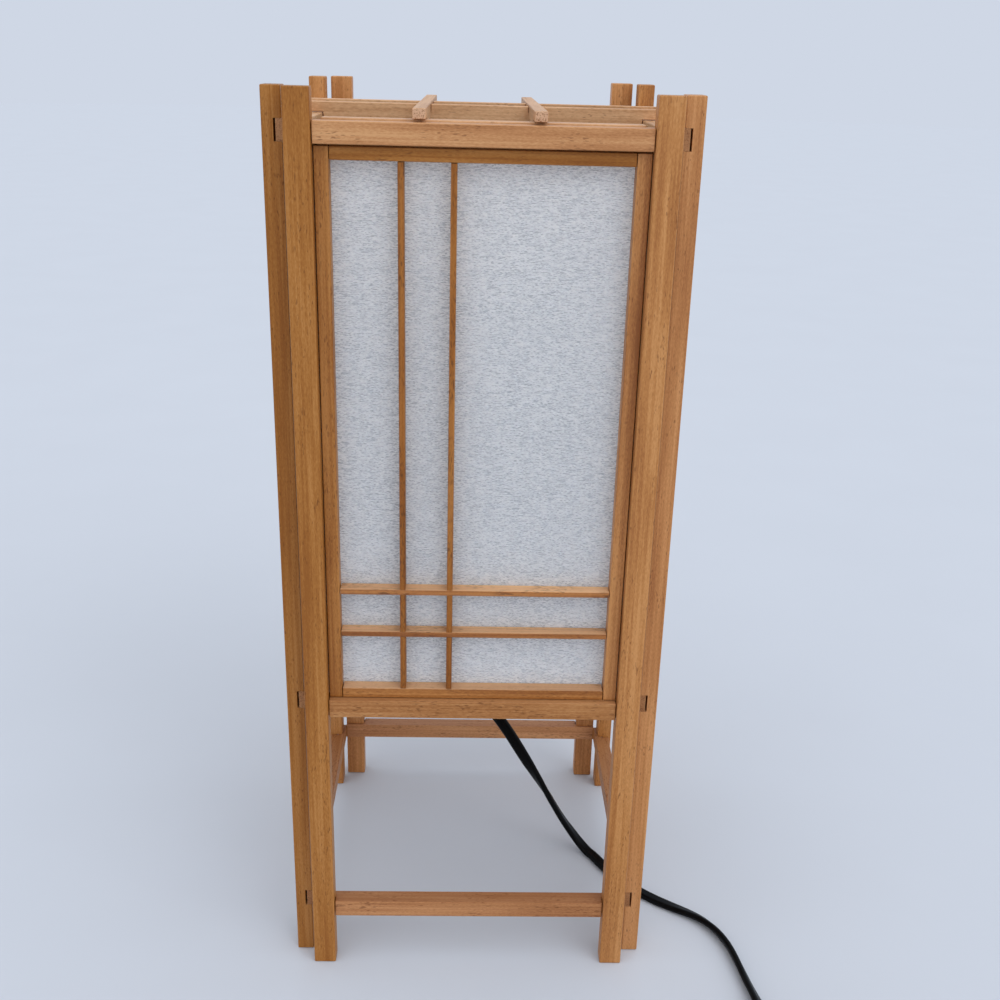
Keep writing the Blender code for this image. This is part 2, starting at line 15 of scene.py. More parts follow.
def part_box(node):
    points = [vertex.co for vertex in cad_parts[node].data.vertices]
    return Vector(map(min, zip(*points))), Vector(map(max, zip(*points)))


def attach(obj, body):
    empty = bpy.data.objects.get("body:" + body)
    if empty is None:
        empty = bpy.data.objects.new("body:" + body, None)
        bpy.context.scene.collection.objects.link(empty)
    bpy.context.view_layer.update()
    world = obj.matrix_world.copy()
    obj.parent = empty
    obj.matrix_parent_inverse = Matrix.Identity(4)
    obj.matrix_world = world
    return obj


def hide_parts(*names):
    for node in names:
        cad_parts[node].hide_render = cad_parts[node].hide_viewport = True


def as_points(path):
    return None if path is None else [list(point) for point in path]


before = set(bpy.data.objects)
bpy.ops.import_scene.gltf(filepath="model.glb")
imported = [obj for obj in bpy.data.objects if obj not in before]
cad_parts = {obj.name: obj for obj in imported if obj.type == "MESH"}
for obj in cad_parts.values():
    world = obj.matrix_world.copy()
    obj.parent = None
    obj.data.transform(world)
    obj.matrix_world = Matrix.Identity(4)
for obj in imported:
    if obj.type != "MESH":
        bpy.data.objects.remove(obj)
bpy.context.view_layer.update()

LOG = logging.getLogger("shoji_lamp")
MM = 0.001
FIT = 0.3 * MM
AIR = 0.05 * MM
SAME_POINT = 1e-7
KEEN_SHARE = 0.12
SPLINE_STEPS = 40

Point = tuple[float, float, float]
Colour = tuple[float, float, float]


class Body(Enum):
    """Moving bodies of the lamp."""

    LAMP = "lamp"
    GRILLE = "grille"
    BULB = "bulb"
    ROCKER = "rocker"


class Slot(Enum):
    """Material slots that the record names."""

    FRAME_WOOD = "frame_wood"
    PANEL_WOOD = "panel_wood"
    GRILLE_WOOD = "grille_wood"
    PAPER = "paper"
    HOLDER = "holder_plastic"
    CAP = "bulb_metal"
    OPAL = "bulb_opal"
    LEAD = "lead_plastic"
    TIE = "tie_plastic"
    SWITCH = "switch_plastic"


class Side(Enum):
    """The four sides, numbered by quarter turns from the front."""

    FRONT = 0
    RIGHT = 1
    BACK = 2
    LEFT = 3

    @property
    def label(self) -> str:
        """Name of the side as the nodes spell it."""
        return self.name.lower()

    def turn(self, point: Sequence[float]) -> Point:
        """Turn a point of the front side to this side.

        Args:
            point: A place on the front side.

        Returns:
            The same place on this side.
        """
        x, y, z = point
        for _ in range(self.value):
            x, y = -y, x
        return (x, y, z)

    def unturn(self, point: Sequence[float]) -> Point:
        """Bring a point of this side back to the front side."""
        x, y, z = point
        for _ in range(self.value):
            x, y = y, -x
        return (x, y, z)


class Grain(Enum):
    """Axis that the fibres of a wooden piece follow."""

    ALONG_X = 0
    ALONG_Y = 1
    ALONG_Z = 2

    def stretch(self, across: float, along: float) -> Point:
        """Pattern scale for each axis.

        Args:
            across: Marks per metre across the fibres.
            along: Marks per metre along the fibres.

        Returns:
            The three scales.
        """
        scale = [across, across, across]
        scale[self.value] = along
        return tuple(scale)

    def turned(self, side: Side) -> "Grain":
        """Grain of a front piece after it is turned to a side."""
        if self is Grain.ALONG_Z or side.value % 2 == 0:
            return self
        return Grain.ALONG_Y if self is Grain.ALONG_X else Grain.ALONG_X


def linear(colour: Colour) -> tuple[float, float, float, float]:
    """Turn a screen colour into linear light.

    Args:
        colour: Red, green and blue from 0 to 255.

    Returns:
        Linear red, green, blue and full alpha.
    """
    shares = [value / 255 for value in colour]
    light = [s / 12.92 if s <= 0.04045 else ((s + 0.055) / 1.055) ** 2.4 for s in shares]
    return (light[0], light[1], light[2], 1.0)


class Wiring:
    """Nodes and links of one node tree."""

    def __init__(self, tree: bpy.types.NodeTree) -> None:
        """Work on this tree."""
        self.nodes = tree.nodes
        self.links = tree.links

    def feed(self, socket: bpy.types.NodeSocket, value: object) -> None:
        """Link a socket to another one, or set it to a plain value."""
        if isinstance(value, bpy.types.NodeSocket):
            self.links.new(value, socket)
        else:
            socket.default_value = value

    def add(self, kind: str, inputs: dict, **settings: object) -> bpy.types.Node:
        """Add a node.

        Args:
            kind: Blender's name of the node.
            inputs: Values or sockets by input name or number.
            settings: Properties of the node.

        Returns:
            The new node.
        """
        node = self.nodes.new(kind)
        for key, value in settings.items():
            setattr(node, key, value)
        for key, value in inputs.items():
            self.feed(node.inputs[key], value)
        return node


class Shader(Wiring):
    """A material with its nodes, built step by step around one surface shader."""

    def __init__(self, name: str) -> None:
        """Start an empty material with this name."""
        self.material = bpy.data.materials.new(name)
        self.material.use_nodes = True
        super().__init__(self.material.node_tree)
        self.surface = self.nodes["Principled BSDF"]

    def place(self) -> bpy.types.NodeSocket:
        """Object coordinates of the piece."""
        return self.add("ShaderNodeTexCoord", {}).outputs["Object"]

    def cut_place(self) -> bpy.types.NodeSocket:
        """Object coordinates moved by the piece's own cut, so that no two pieces share their figure."""
        cut = self.add("ShaderNodeAttribute", {}, attribute_name="cut").outputs["Vector"]
        return self.add("ShaderNodeVectorMath", {0: self.place(), 1: cut}, operation="ADD").outputs["Vector"]

    def noise(self, place: bpy.types.NodeSocket, scale: Point | float, detail: float = 2.0,
              distortion: float = 0.0) -> bpy.types.NodeSocket:
        """Noise with one scale, or its own for each axis.

        Args:
            place: Coordinates.
            scale: Marks per metre, in all or along x, y and z.
            detail: Octaves.
            distortion: How much the marks wander.

        Returns:
            The noise value.
        """
        marks = scale if isinstance(scale, tuple) else (scale, scale, scale)
        scaled = self.add("ShaderNodeVectorMath", {0: place, 1: marks}, operation="MULTIPLY").outputs["Vector"]
        inputs = {"Vector": scaled, "Scale": 1.0, "Detail": detail, "Distortion": distortion}
        return self.add("ShaderNodeTexNoise", inputs).outputs["Fac"]

    def span(self, value: bpy.types.NodeSocket, low: float, high: float, to_low: float = 0.0,
             to_high: float = 1.0) -> bpy.types.NodeSocket:
        """Spread a value's range onto another range, clamped."""
        inputs = {"Value": value, "From Min": low, "From Max": high, "To Min": to_low, "To Max": to_high}
        return self.add("ShaderNodeMapRange", inputs).outputs["Result"]

    def sum(self, operation: str, one: object, two: object) -> bpy.types.NodeSocket:
        """Join two values with a named operation."""
        return self.add("ShaderNodeMath", {0: one, 1: two}, operation=operation).outputs["Value"]

    def weighed(self, *shares: tuple[bpy.types.NodeSocket, float]) -> bpy.types.NodeSocket:
        """Sum of values, each times its weight."""
        parts = [self.sum("MULTIPLY", value, weight) for value, weight in shares]
        total = parts[0]
        for part in parts[1:]:
            total = self.sum("ADD", total, part)
        return total

    def mix(self, share: object, one: object, two: object) -> bpy.types.NodeSocket:
        """Blend from one colour to another."""
        return self.add("ShaderNodeMix", {0: share, 6: one, 7: two}, data_type="RGBA").outputs[2]

    def ramp(self, value: bpy.types.NodeSocket, stops: Sequence[tuple[float, Colour]]) -> bpy.types.NodeSocket:
        """Colour by value.

        Args:
            value: The value to read.
            stops: Pairs of position and screen colour.

        Returns:
            The colour.
        """
        node = self.add("ShaderNodeValToRGB", {"Fac": value})
        elements = node.color_ramp.elements
        while len(elements) < len(stops):
            elements.new(0.5)
        for element, (position, colour) in zip(elements, stops):
            element.position = position
            element.color = linear(colour)
        return node.outputs["Color"]

    def bump(self, height: bpy.types.NodeSocket, strength: float, distance: float) -> None:
        """Give the surface fine relief from a height value."""
        inputs = {"Height": height, "Strength": strength, "Distance": distance}
        self.feed(self.surface.inputs["Normal"], self.add("ShaderNodeBump", inputs).outputs["Normal"])

    def finish(self, colour: object, roughness: object, **constants: float | Point) -> bpy.types.Material:
        """Set the surface and return the material.

        Args:
            colour: Base colour, linked or plain.
            roughness: Roughness, linked or plain.
            constants: Other shader inputs, with underscores for spaces.

        Returns:
            The finished material.
        """
        self.feed(self.surface.inputs["Base Color"], colour)
        self.feed(self.surface.inputs["Roughness"], roughness)
        for key, value in constants.items():
            self.surface.inputs[key.replace("_", " ")].default_value = value
        return self.material


@dataclass(frozen=True)
class WoodFinish:
    """Lacquered beech with straight streaks and short dark flecks; upward faces get a painted top colour for the light
    from above.
    """

    name: str
    pale: Colour
    middle: Colour
    deep: Colour
    fleck: Colour = (106, 60, 28)
    cut_end: Colour = (188, 144, 104)
    # Share and colour painted onto upward faces: painted light from above.
    painted_top_share: float = 0.2
    painted_top_colour: Colour = (222, 180, 140)
    sparse: float = 0.63
    made: dict = field(default_factory=dict, compare=False)

    def material(self, grain: Grain) -> bpy.types.Material:
        """Material with its fibres along one axis, made once for each.

        Args:
            grain: Axis of the fibres.

        Returns:
            The material.
        """
        if grain not in self.made:
            self.made[grain] = self.mixed(grain)
        return self.made[grain]

    def mixed(self, grain: Grain) -> bpy.types.Material:
        """Mix the material for one grain axis."""
        shader = Shader(self.name + "_" + grain.name.lower())
        spot = shader.cut_place()
        broad = shader.noise(spot, grain.stretch(85.0, 7.0), 3.0, 0.4)
        streak = shader.noise(spot, grain.stretch(780.0, 13.0), 4.0, 0.2)
        speck = shader.noise(spot, grain.stretch(2300.0, 620.0), 2.0)
        marks = shader.noise(spot, grain.stretch(1650.0, 330.0), 1.0)
        groups = shader.noise(spot, grain.stretch(150.0, 45.0), 2.0)
        figure = shader.weighed((broad, 0.4), (streak, 0.36), (speck, 0.24))
        colour = shader.ramp(figure, [(0.4, self.deep), (0.5, self.middle), (0.6, self.pale)])
        facing = shader.add("ShaderNodeSeparateXYZ", {0: shader.add("ShaderNodeTexCoord", {}).outputs["Normal"]})
        # Upward faces shift towards the painted top colour: painted light from above, and painted shade for the foot
        # stretchers.
        upward = shader.span(facing.outputs["Z"], 0.6, 0.95, 0.0, self.painted_top_share)
        upward = shader.sum("MULTIPLY", upward, shader.span(figure, 0.38, 0.62, 0.65, 1.15))
        colour = shader.mix(upward, colour, linear(self.painted_top_colour))
        dark = shader.span(marks, self.sparse, self.sparse + 0.08)
        dark = shader.sum("MULTIPLY", dark, shader.span(groups, 0.42, 0.56))
        colour = shader.mix(shader.sum("MULTIPLY", dark, 0.6), colour, linear(self.fleck))
        pores = shader.noise(spot, 1500.0, 1.0)
        end = shader.span(shader.sum("ABSOLUTE", facing.outputs[grain.value], 0.0), 0.7, 0.95)
        dots = shader.mix(shader.span(pores, 0.54, 0.64), linear(self.cut_end), linear(self.fleck))
        colour = shader.mix(shader.sum("MULTIPLY", end, 0.65), colour, dots)
        # Tone: a random shift plus the painted light and shade of the piece table; it sets lightness and saturation.
        tone = shader.add("ShaderNodeAttribute", {}, attribute_name="tone").outputs["Fac"]
        level = shader.sum("ADD", tone, 1.0)
        depth = shader.sum("ADD", shader.sum("MULTIPLY", tone, -0.3), 1.0)
        toned = {"Saturation": depth, "Value": level, "Color": colour}
        colour = shader.add("ShaderNodeHueSaturation", toned).outputs["Color"]
        height = shader.weighed((streak, 1.0), (speck, 0.5), (dark, -0.5))
        shader.bump(height, 0.22, 0.12 * MM)
        rough = shader.span(shader.sum("ADD", speck, dark), 0.3, 0.9, 0.4, 0.58)
        return shader.finish(colour, rough, Specular_IOR_Level=0.28, Coat_Weight=0.04, Coat_Roughness=0.3)

    def dress(self, piece: bpy.types.Object, grain: Grain) -> None:
        """Give a piece this wood, with its own cut and a tone: a small random shift plus the piece's painted light or
        shade from the table.

        Args:
            piece: The wooden piece.
            grain: Axis of its fibres.
        """
        draw = random.Random(piece.name)
        stamp(piece.data, "cut", [draw.uniform(-0.6, 0.6) for _ in range(3)])
        # Random tone plus the piece's painted light and shade from the table.
        stamp(piece.data, "tone", [draw.uniform(-0.03, 0.03) + PIECE_TONES_WITH_PAINTED_LIGHT.get(piece.name, 0.0)])
        coat(piece, self.material(grain))


@dataclass(frozen=True)
class PaperFinish:
    """Mulberry paper with short level fibres and a faint mottle."""

    pale: Colour = (247, 251, 253)
    middle: Colour = (225, 230, 235)
    deep: Colour = (170, 176, 184)
    strand: Colour = (241, 242, 243)

    def material(self) -> bpy.types.Material:
        """Mix the paper's material."""
        shader = Shader("shoji_paper")
        spot = shader.cut_place()
        dash = shader.noise(spot, (820.0, 820.0, 3900.0), 2.0)
        streak = shader.noise(spot, (240.0, 240.0, 3500.0), 3.0)
        cloud = shader.noise(spot, (260.0, 260.0, 420.0), 2.0)
        strand = shader.noise(spot, (95.0, 95.0, 3600.0), 2.0, 0.6)
        blend = shader.weighed((dash, 0.53), (streak, 0.35), (cloud, 0.12))
        colour = shader.ramp(blend, [(0.43, self.deep), (0.5, self.middle), (0.57, self.pale)])
        hair = shader.sum("MULTIPLY", shader.span(strand, 0.66, 0.74), 0.35)
        colour = shader.mix(hair, colour, linear(self.strand))
        shader.bump(shader.sum("ADD", dash, hair), 0.3, 0.15 * MM)
        rough = shader.span(dash, 0.3, 0.7, 0.82, 0.95)
        return shader.finish(colour, rough, Specular_IOR_Level=0.2, Subsurface_Weight=0.9, Subsurface_Scale=2 * MM,
                             Subsurface_Radius=(1.0, 0.96, 0.88))


@dataclass(frozen=True)
class PlasticFinish:
    """Moulded plastic with a fine spark texture and faint handling marks."""

    name: str
    colour: Colour
    worn: Colour
    smooth: float
    dull: float
    grain: float = 2600.0
    relief: float = 0.12
    gloss: float = 0.3

    def material(self) -> bpy.types.Material:
        """Mix the plastic's material."""
        shader = Shader(self.name)
        spot = shader.place()
        spark = shader.noise(spot, self.grain, 2.0)
        smear = shader.noise(spot, 130.0, 4.0, 0.5)
        wear = shader.span(smear, 0.5, 0.78)
        colour = shader.mix(wear, linear(self.colour), linear(self.worn))
        shader.bump(spark, self.relief, 0.08 * MM)
        rough = shader.span(shader.weighed((smear, 1.0), (spark, 0.4)), 0.45, 0.95, self.smooth, self.dull)
        return shader.finish(colour, rough, Specular_IOR_Level=self.gloss)


@dataclass(frozen=True)
class MetalFinish:
    """Drawn metal with fine turning lines and some tarnish."""

    name: str
    bright: Colour
    tarnish: Colour
    lines: Point

    def material(self) -> bpy.types.Material:
        """Mix the metal's material."""
        shader = Shader(self.name)
        spot = shader.place()
        turned = shader.noise(spot, self.lines, 3.0)
        stain = shader.noise(spot, 240.0, 4.0)
        colour = shader.mix(shader.span(stain, 0.45, 0.75), linear(self.bright), linear(self.tarnish))
        shader.bump(turned, 0.15, 0.05 * MM)
        return shader.finish(colour, shader.span(stain, 0.3, 0.7, 0.2, 0.4), Metallic=1.0)


@dataclass(frozen=True)
class OpalFinish:
    """White glass, frosted inside."""

    milky: Colour = (243, 242, 238)
    pale: Colour = (249, 248, 246)

    def material(self) -> bpy.types.Material:
        """Mix the glass material."""
        shader = Shader("bulb_opal_glass")
        spot = shader.place()
        frost = shader.noise(spot, 900.0, 3.0)
        cloud = shader.noise(spot, 60.0, 3.0)
        colour = shader.mix(shader.span(cloud, 0.35, 0.65), linear(self.milky), linear(self.pale))
        shader.bump(frost, 0.03, 0.05 * MM)
        rough = shader.span(frost, 0.3, 0.7, 0.2, 0.3)
        return shader.finish(colour, rough, Subsurface_Weight=0.2, Subsurface_Scale=4 * MM,
                             Subsurface_Radius=(1.0, 0.95, 0.85), Coat_Weight=0.4)


@dataclass(frozen=True)
class FloorFinish:
    """Pale satin table top."""

    colour: Colour = (205, 212, 224)
    haze: float = 0.985

    def material(self) -> bpy.types.Material:
        """Mix the floor's material."""
        shader = Shader("pale_floor")
        haze = shader.noise(shader.place(), 9.0, 3.0)
        darker = tuple(value * self.haze for value in self.colour)
        colour = shader.mix(haze, linear(self.colour), linear(darker))
        return shader.finish(colour, shader.span(haze, 0.3, 0.7, 0.85, 0.95), Specular_IOR_Level=0.0)


# Lightness shift per piece, on top of its random tone. Painted shade: the front-left post, the left side's front post
# and the front panel's left stile are darker for the light from the right, and the front panel's top rail is darker for
# the shade under the upper rail. Painted light: the back posts and the back stretcher are lighter against the shade
# inside the lamp. The other entries shift lightness per piece.
PIECE_TONES_WITH_PAINTED_LIGHT = {
    "post_front_left_wood": -0.2,
    "post_left_right_wood": -0.24,
    "post_right_left_wood": 0.1,
    "lower_rail_front_wood": -0.14,
    "upper_rail_front_wood": 0.03,
    "panel_front_top_rail_wood": -0.2,
    "panel_front_stile_left_wood": -0.1,
    "panel_front_stile_right_wood": 0.06,
    "panel_front_upright_bars": -0.2,
    "stretcher_back_wood": 0.12,
    "post_back_left_wood": 0.12,
    "post_back_right_wood": 0.12,
}
RAIL_END = (160, 112, 72)
FRAME_WOOD = WoodFinish("frame_beech", (201, 143, 86), (183, 124, 67), (162, 103, 51))
RAIL_WOOD = WoodFinish("rail_beech", (206, 154, 104), (187, 131, 83), (164, 108, 62), cut_end=RAIL_END, painted_top_share=0.3,
                       sparse=0.59)
# The foot stretchers' upward faces are painted darker: painted shade under the lamp's body.
FOOT_WOOD = WoodFinish("foot_beech", (199, 144, 96), (180, 123, 77), (157, 101, 58), cut_end=RAIL_END, painted_top_share=0.4,
                       painted_top_colour=(118, 76, 50), sparse=0.59)
# The panel and bar woods paint their upward faces much paler: painted light from above on the level bars' tops.
PANEL_WOOD = WoodFinish("panel_beech", (192, 134, 76), (169, 110, 55), (142, 85, 37), painted_top_share=0.72, sparse=0.61)
BAR_WOOD = WoodFinish("bar_beech", (190, 130, 73), (167, 106, 53), (134, 78, 33), fleck=(72, 36, 16), painted_top_share=0.8,
                      painted_top_colour=(228, 183, 137), sparse=0.53)
GRILLE_WOOD = WoodFinish("grille_beech", (222, 179, 137), (205, 159, 117), (181, 133, 91), fleck=(124, 78, 46),
                         cut_end=(212, 170, 140))
SHOJI_PAPER = PaperFinish()
CORD_PLASTIC = PlasticFinish("cord_plastic", (4, 4, 5), (9, 9, 10), 0.24, 0.4, 1500.0, 0.05, 0.1)
HOLDER_PLASTIC = PlasticFinish("holder_plastic", (24, 23, 23), (40, 39, 38), 0.25, 0.42)
SWITCH_PLASTIC = PlasticFinish("switch_plastic", (26, 26, 27), (42, 42, 43), 0.36, 0.55)
ROCKER_PLASTIC = PlasticFinish("rocker_plastic", (32, 32, 33), (50, 50, 51), 0.24, 0.4)
TIE_PLASTIC = PlasticFinish("tie_plastic", (30, 30, 31), (52, 52, 53), 0.5, 0.7, 1900.0, 0.3)
CAP_METAL = MetalFinish("cap_metal", (206, 203, 196), (170, 164, 152), (300.0, 300.0, 5200.0))
PIN_METAL = MetalFinish("pin_metal", (214, 206, 186), (178, 166, 140), (4200.0, 260.0, 260.0))


def placed(name: str, data: bpy.types.ID) -> bpy.types.Object:
    """Put a new object with this data in the scene, at the origin."""
    thing = bpy.data.objects.new(name, data)
    bpy.context.scene.collection.objects.link(thing)
    return thing


def merged(mesh: bpy.types.Mesh) -> bpy.types.Mesh:
    """Join the points of a mesh that coincide, turn its faces outwards and shade them smooth."""
    work = bmesh.new()
    work.from_mesh(mesh)
    bmesh.ops.remove_doubles(work, verts=work.verts, dist=SAME_POINT)
    bmesh.ops.recalc_face_normals(work, faces=work.faces)
    work.to_mesh(mesh)
    work.free()
    mesh.shade_smooth()
    return mesh


def closed_mesh(name: str, verts: Iterable[Sequence[float]], faces: Iterable[Sequence[int]]) -> bpy.types.Object:
    """Make a closed mesh piece with outward faces.

    Args:
        name: Name of the piece.
        verts: Corner points in metres.
        faces: Corner numbers of each face.

    Returns:
        The new piece, at the origin.
    """
    mesh = bpy.data.meshes.new(name)
    mesh.from_pydata([tuple(v) for v in verts], [], [tuple(f) for f in faces])
    return placed(name, merged(mesh))


def stamp(mesh: bpy.types.Mesh, name: str, value: Sequence[float]) -> None:
    """Store one number or one vector on every point of a mesh.

    Args:
        mesh: The mesh.
        name: Name of the attribute.
        value: One number or three.
    """
    kind, key = ("FLOAT", "value") if len(value) == 1 else ("FLOAT_VECTOR", "vector")
    layer = mesh.attributes.new(name, kind, "POINT")
    layer.data.foreach_set(key, np.tile(np.array(value, np.float32), len(mesh.vertices)))


def coat(piece: bpy.types.Object, material: bpy.types.Material, sharp: float | None = None) -> bpy.types.Object:
    """Give a piece its one material.

    Args:
        piece: The piece.
        material: Its material.
        sharp: Edges that turn by more than this, in degrees, are shaded sharp.

    Returns:
        The same piece.
    """
    piece.data.materials.clear()
    piece.data.materials.append(material)
    if sharp is not None:
        piece.data.set_sharp_from_angle(angle=math.radians(sharp))
    return piece


def bake(piece: bpy.types.Object) -> bpy.types.Object:
    """Turn a piece's modifiers into its plain mesh."""
    graph = bpy.context.evaluated_depsgraph_get()
    mesh = bpy.data.meshes.new_from_object(piece.evaluated_get(graph))
    old = piece.data
    piece.modifiers.clear()
    piece.data = mesh
    bpy.data.meshes.remove(old)
    mesh.name = piece.name
    return piece


def even_normals(piece: bpy.types.Object) -> bpy.types.Object:
    """Keep the flats of a rounded piece flat in the shading, and bake it."""
    piece.modifiers.new("normals", "WEIGHTED_NORMAL").keep_sharp = True
    return bake(piece)


def round_edges(piece: bpy.types.Object, radius: float, segments: int = 3, angle: float = 35.0,
                keen: Callable[[Vector], bool] = lambda point: False) -> bpy.types.Object:
    """Round the sharp edges of a piece and keep its flats flat.

    Args:
        piece: The piece to work on.
        radius: Width of the rounding.
        segments: Steps in it.
        angle: Edges that turn by more than this, in degrees, are rounded.
        keen: Picks points; an edge with both ends picked is rounded much less.

    Returns:
        The same piece with a plain mesh.
    """
    work = bmesh.new()
    work.from_mesh(piece.data)
    weight = work.edges.layers.float.new("bevel_weight_edge")
    for edge in work.edges:
        if edge.calc_face_angle(0.0) > math.radians(angle):
            edge[weight] = KEEN_SHARE if all(keen(vert.co) for vert in edge.verts) else 1.0
    work.to_mesh(piece.data)
    work.free()
    bevel = piece.modifiers.new("edges", "BEVEL")
    bevel.width = radius
    bevel.segments = segments
    bevel.limit_method = "WEIGHT"
    bevel.use_clamp_overlap = True
    return even_normals(piece)


def prism(name: str, outline: Sequence[tuple[float, float]], axis: str, low: float, high: float,
          side: Side = Side.FRONT) -> bpy.types.Object:
    """Push a flat outline along an axis and turn it to a side.

    Args:
        name: Name of the piece.
        outline: Corners in the plane across the axis.
        axis: One of x, y and z.
        low: Where the piece starts on the axis.
        high: Where it ends.
        side: Side that it is turned to.

    Returns:
        The new piece.
    """
    def spot(a: float, b: float, c: float) -> Point:
        """Put plane and axis places in order."""
        return {"x": (c, a, b), "y": (a, c, b), "z": (a, b, c)}[axis]

    count = len(outline)
    verts = [side.turn(spot(a, b, low)) for a, b in outline]
    verts += [side.turn(spot(a, b, high)) for a, b in outline]
    faces = [tuple(range(count)), tuple(range(2 * count - 1, count - 1, -1))]
    faces += [(i, (i + 1) % count, count + (i + 1) % count, count + i) for i in range(count)]
    return closed_mesh(name, verts, faces)


def block(name: str, low: Sequence[float], high: Sequence[float], side: Side = Side.FRONT) -> bpy.types.Object:
    """Make a box between two corners and turn it to a side."""
    outline = [(low[0], low[1]), (high[0], low[1]), (high[0], high[1]), (low[0], high[1])]
    return prism(name, outline, "z", low[2], high[2], side)


def loft(name: str, rings: Sequence[Sequence[Point]]) -> bpy.types.Object:
    """Skin a row of closed rings and cap both ends.

    Args:
        name: Name of the piece.
        rings: Rings with equal counts of points.

    Returns:
        The new piece.
    """
    count = len(rings[0])
    verts = [point for ring in rings for point in ring]
    faces = [tuple(range(count)), tuple(range(len(verts) - 1, len(verts) - count - 1, -1))]
    for k in range(len(rings) - 1):
        a = k * count
        for i in range(count):
            j = (i + 1) % count
            faces.append((a + i, a + j, a + count + j, a + count + i))
    return closed_mesh(name, verts, faces)


def lathe(name: str, profile: Sequence[tuple[float, float]], segments: int = 64) -> bpy.types.Object:
    """Spin a profile about the upright axis.

    Args:
        name: Name of the piece.
        profile: Pairs of radius and height, on the axis at both ends.
        segments: Steps in a turn.

    Returns:
        The new piece.
    """
    ring = profile[1:-1]
    verts = [(0.0, 0.0, profile[0][1])]
    for radius, z in ring:
        for i in range(segments):
            turn = 2 * math.pi * i / segments
            verts.append((radius * math.cos(turn), radius * math.sin(turn), z))
    verts.append((0.0, 0.0, profile[-1][1]))
    faces = []
    top = 1 + (len(ring) - 1) * segments
    for i in range(segments):
        j = (i + 1) % segments
        faces.append((0, 1 + j, 1 + i))
        for k in range(len(ring) - 1):
            a = 1 + k * segments
            faces.append((a + i, a + j, a + segments + j, a + segments + i))
        faces.append((top + i, top + j, len(verts) - 1))
    return closed_mesh(name, verts, faces)


def through(points: Sequence[Sequence[float]], step: float) -> np.ndarray:
    """Evenly spaced points on a natural cubic curve through given points; both end legs stay straight.

    Args:
        points: The route's points.
        step: Spacing wanted.

    Returns:
        An array of points.
    """
    ends = np.array([points[0], points[-1]])
    knots = np.array(points[1:-1])
    count = len(knots)
    h = np.diff(run_of(knots))
    left = np.eye(count)
    right = np.zeros((count, 3))
    for i in range(1, count - 1):
        left[i, i - 1:i + 2] = (h[i - 1], 2 * (h[i - 1] + h[i]), h[i])
        right[i] = 6 * ((knots[i + 1] - knots[i]) / h[i] - (knots[i] - knots[i - 1]) / h[i - 1])
    bend = np.linalg.solve(left, right)
    fine = [ends[0]]
    for i in range(count - 1):
        for s in np.linspace(0.0, 1.0, SPLINE_STEPS, endpoint=i == count - 2):
            a = 1 - s
            spot = a * knots[i] + s * knots[i + 1]
            fine.append(spot + ((a ** 3 - a) * bend[i] + (s ** 3 - s) * bend[i + 1]) * h[i] ** 2 / 6)
    fine.append(ends[1])
    return even_steps(np.array(fine), step)


def run_of(points: np.ndarray) -> np.ndarray:
    """Length along a row of points up to each of them."""
    return np.concatenate([[0.0], np.cumsum(np.linalg.norm(np.diff(points, axis=0), axis=1))])


def even_steps(points: np.ndarray, step: float) -> np.ndarray:
    """Space a row of points evenly."""
    run = run_of(points)
    even = np.linspace(0.0, run[-1], max(2, int(round(run[-1] / step))) + 1)
    return np.stack([np.interp(even, run, points[:, k]) for k in range(3)], axis=1)


def arc(low: int, high: int, step: int) -> list[float]:
    """Angles in radians from a low to a high one in degrees."""
    return [math.radians(degree) for degree in range(low, high + 1, step)]


def eased(value: np.ndarray | float) -> np.ndarray | float:
    """Smooth step of a share from 0 to 1."""
    share = np.clip(value, 0.0, 1.0)
    return share * share * (3 - 2 * share)


class GrowTree(Wiring):
    """Geometry Nodes tree with named inputs, whose result is kept as a plain mesh."""

    sharp: float = 50.0

    def __init__(self, name: str, kinds: dict[str, Sequence[str]]) -> None:
        """Start the tree.

        Args:
            name: Name of the tree.
            kinds: Names of its inputs by kind of socket.
        """
        self.group = bpy.data.node_groups.new(name, "GeometryNodeTree")
        self.group.is_modifier = True
        super().__init__(self.group)
        face = self.group.interface
        face.new_socket("Geometry", in_out="OUTPUT", socket_type="NodeSocketGeometry")
        for kind, labels in kinds.items():
            for label in labels:
                face.new_socket(label, in_out="INPUT", socket_type="NodeSocket" + kind)
        self.inputs = self.add("NodeGroupInput", {}).outputs

    def close(self, copies: bpy.types.NodeSocket) -> None:
        """End the tree with one mesh and its material."""
        solid = self.add("GeometryNodeRealizeInstances", {"Geometry": copies})
        dressed = self.add("GeometryNodeSetMaterial",
                           {"Geometry": solid.outputs[0], "Material": self.inputs["Material"]})
        self.add("NodeGroupOutput", {"Geometry": dressed.outputs[0]})

    def grow(self, name: str, values: dict[str, object]) -> bpy.types.Object:
        """Run the tree and keep its result as a plain mesh.

        Args:
            name: Name of the piece.
            values: The tree's inputs by name.

        Returns:
            The piece, with no modifier left.
        """
        piece = placed(name, bpy.data.meshes.new(name + "_seed"))
        modifier = piece.modifiers.new("grow", "NODES")
        modifier.node_group = self.group
        for item in self.group.interface.items_tree:
            if item.item_type == "SOCKET" and item.in_out == "INPUT":
                modifier[item.identifier] = values[item.name]
        bake(piece)
        merged(piece.data).set_sharp_from_angle(angle=math.radians(self.sharp))
        return even_normals(piece)


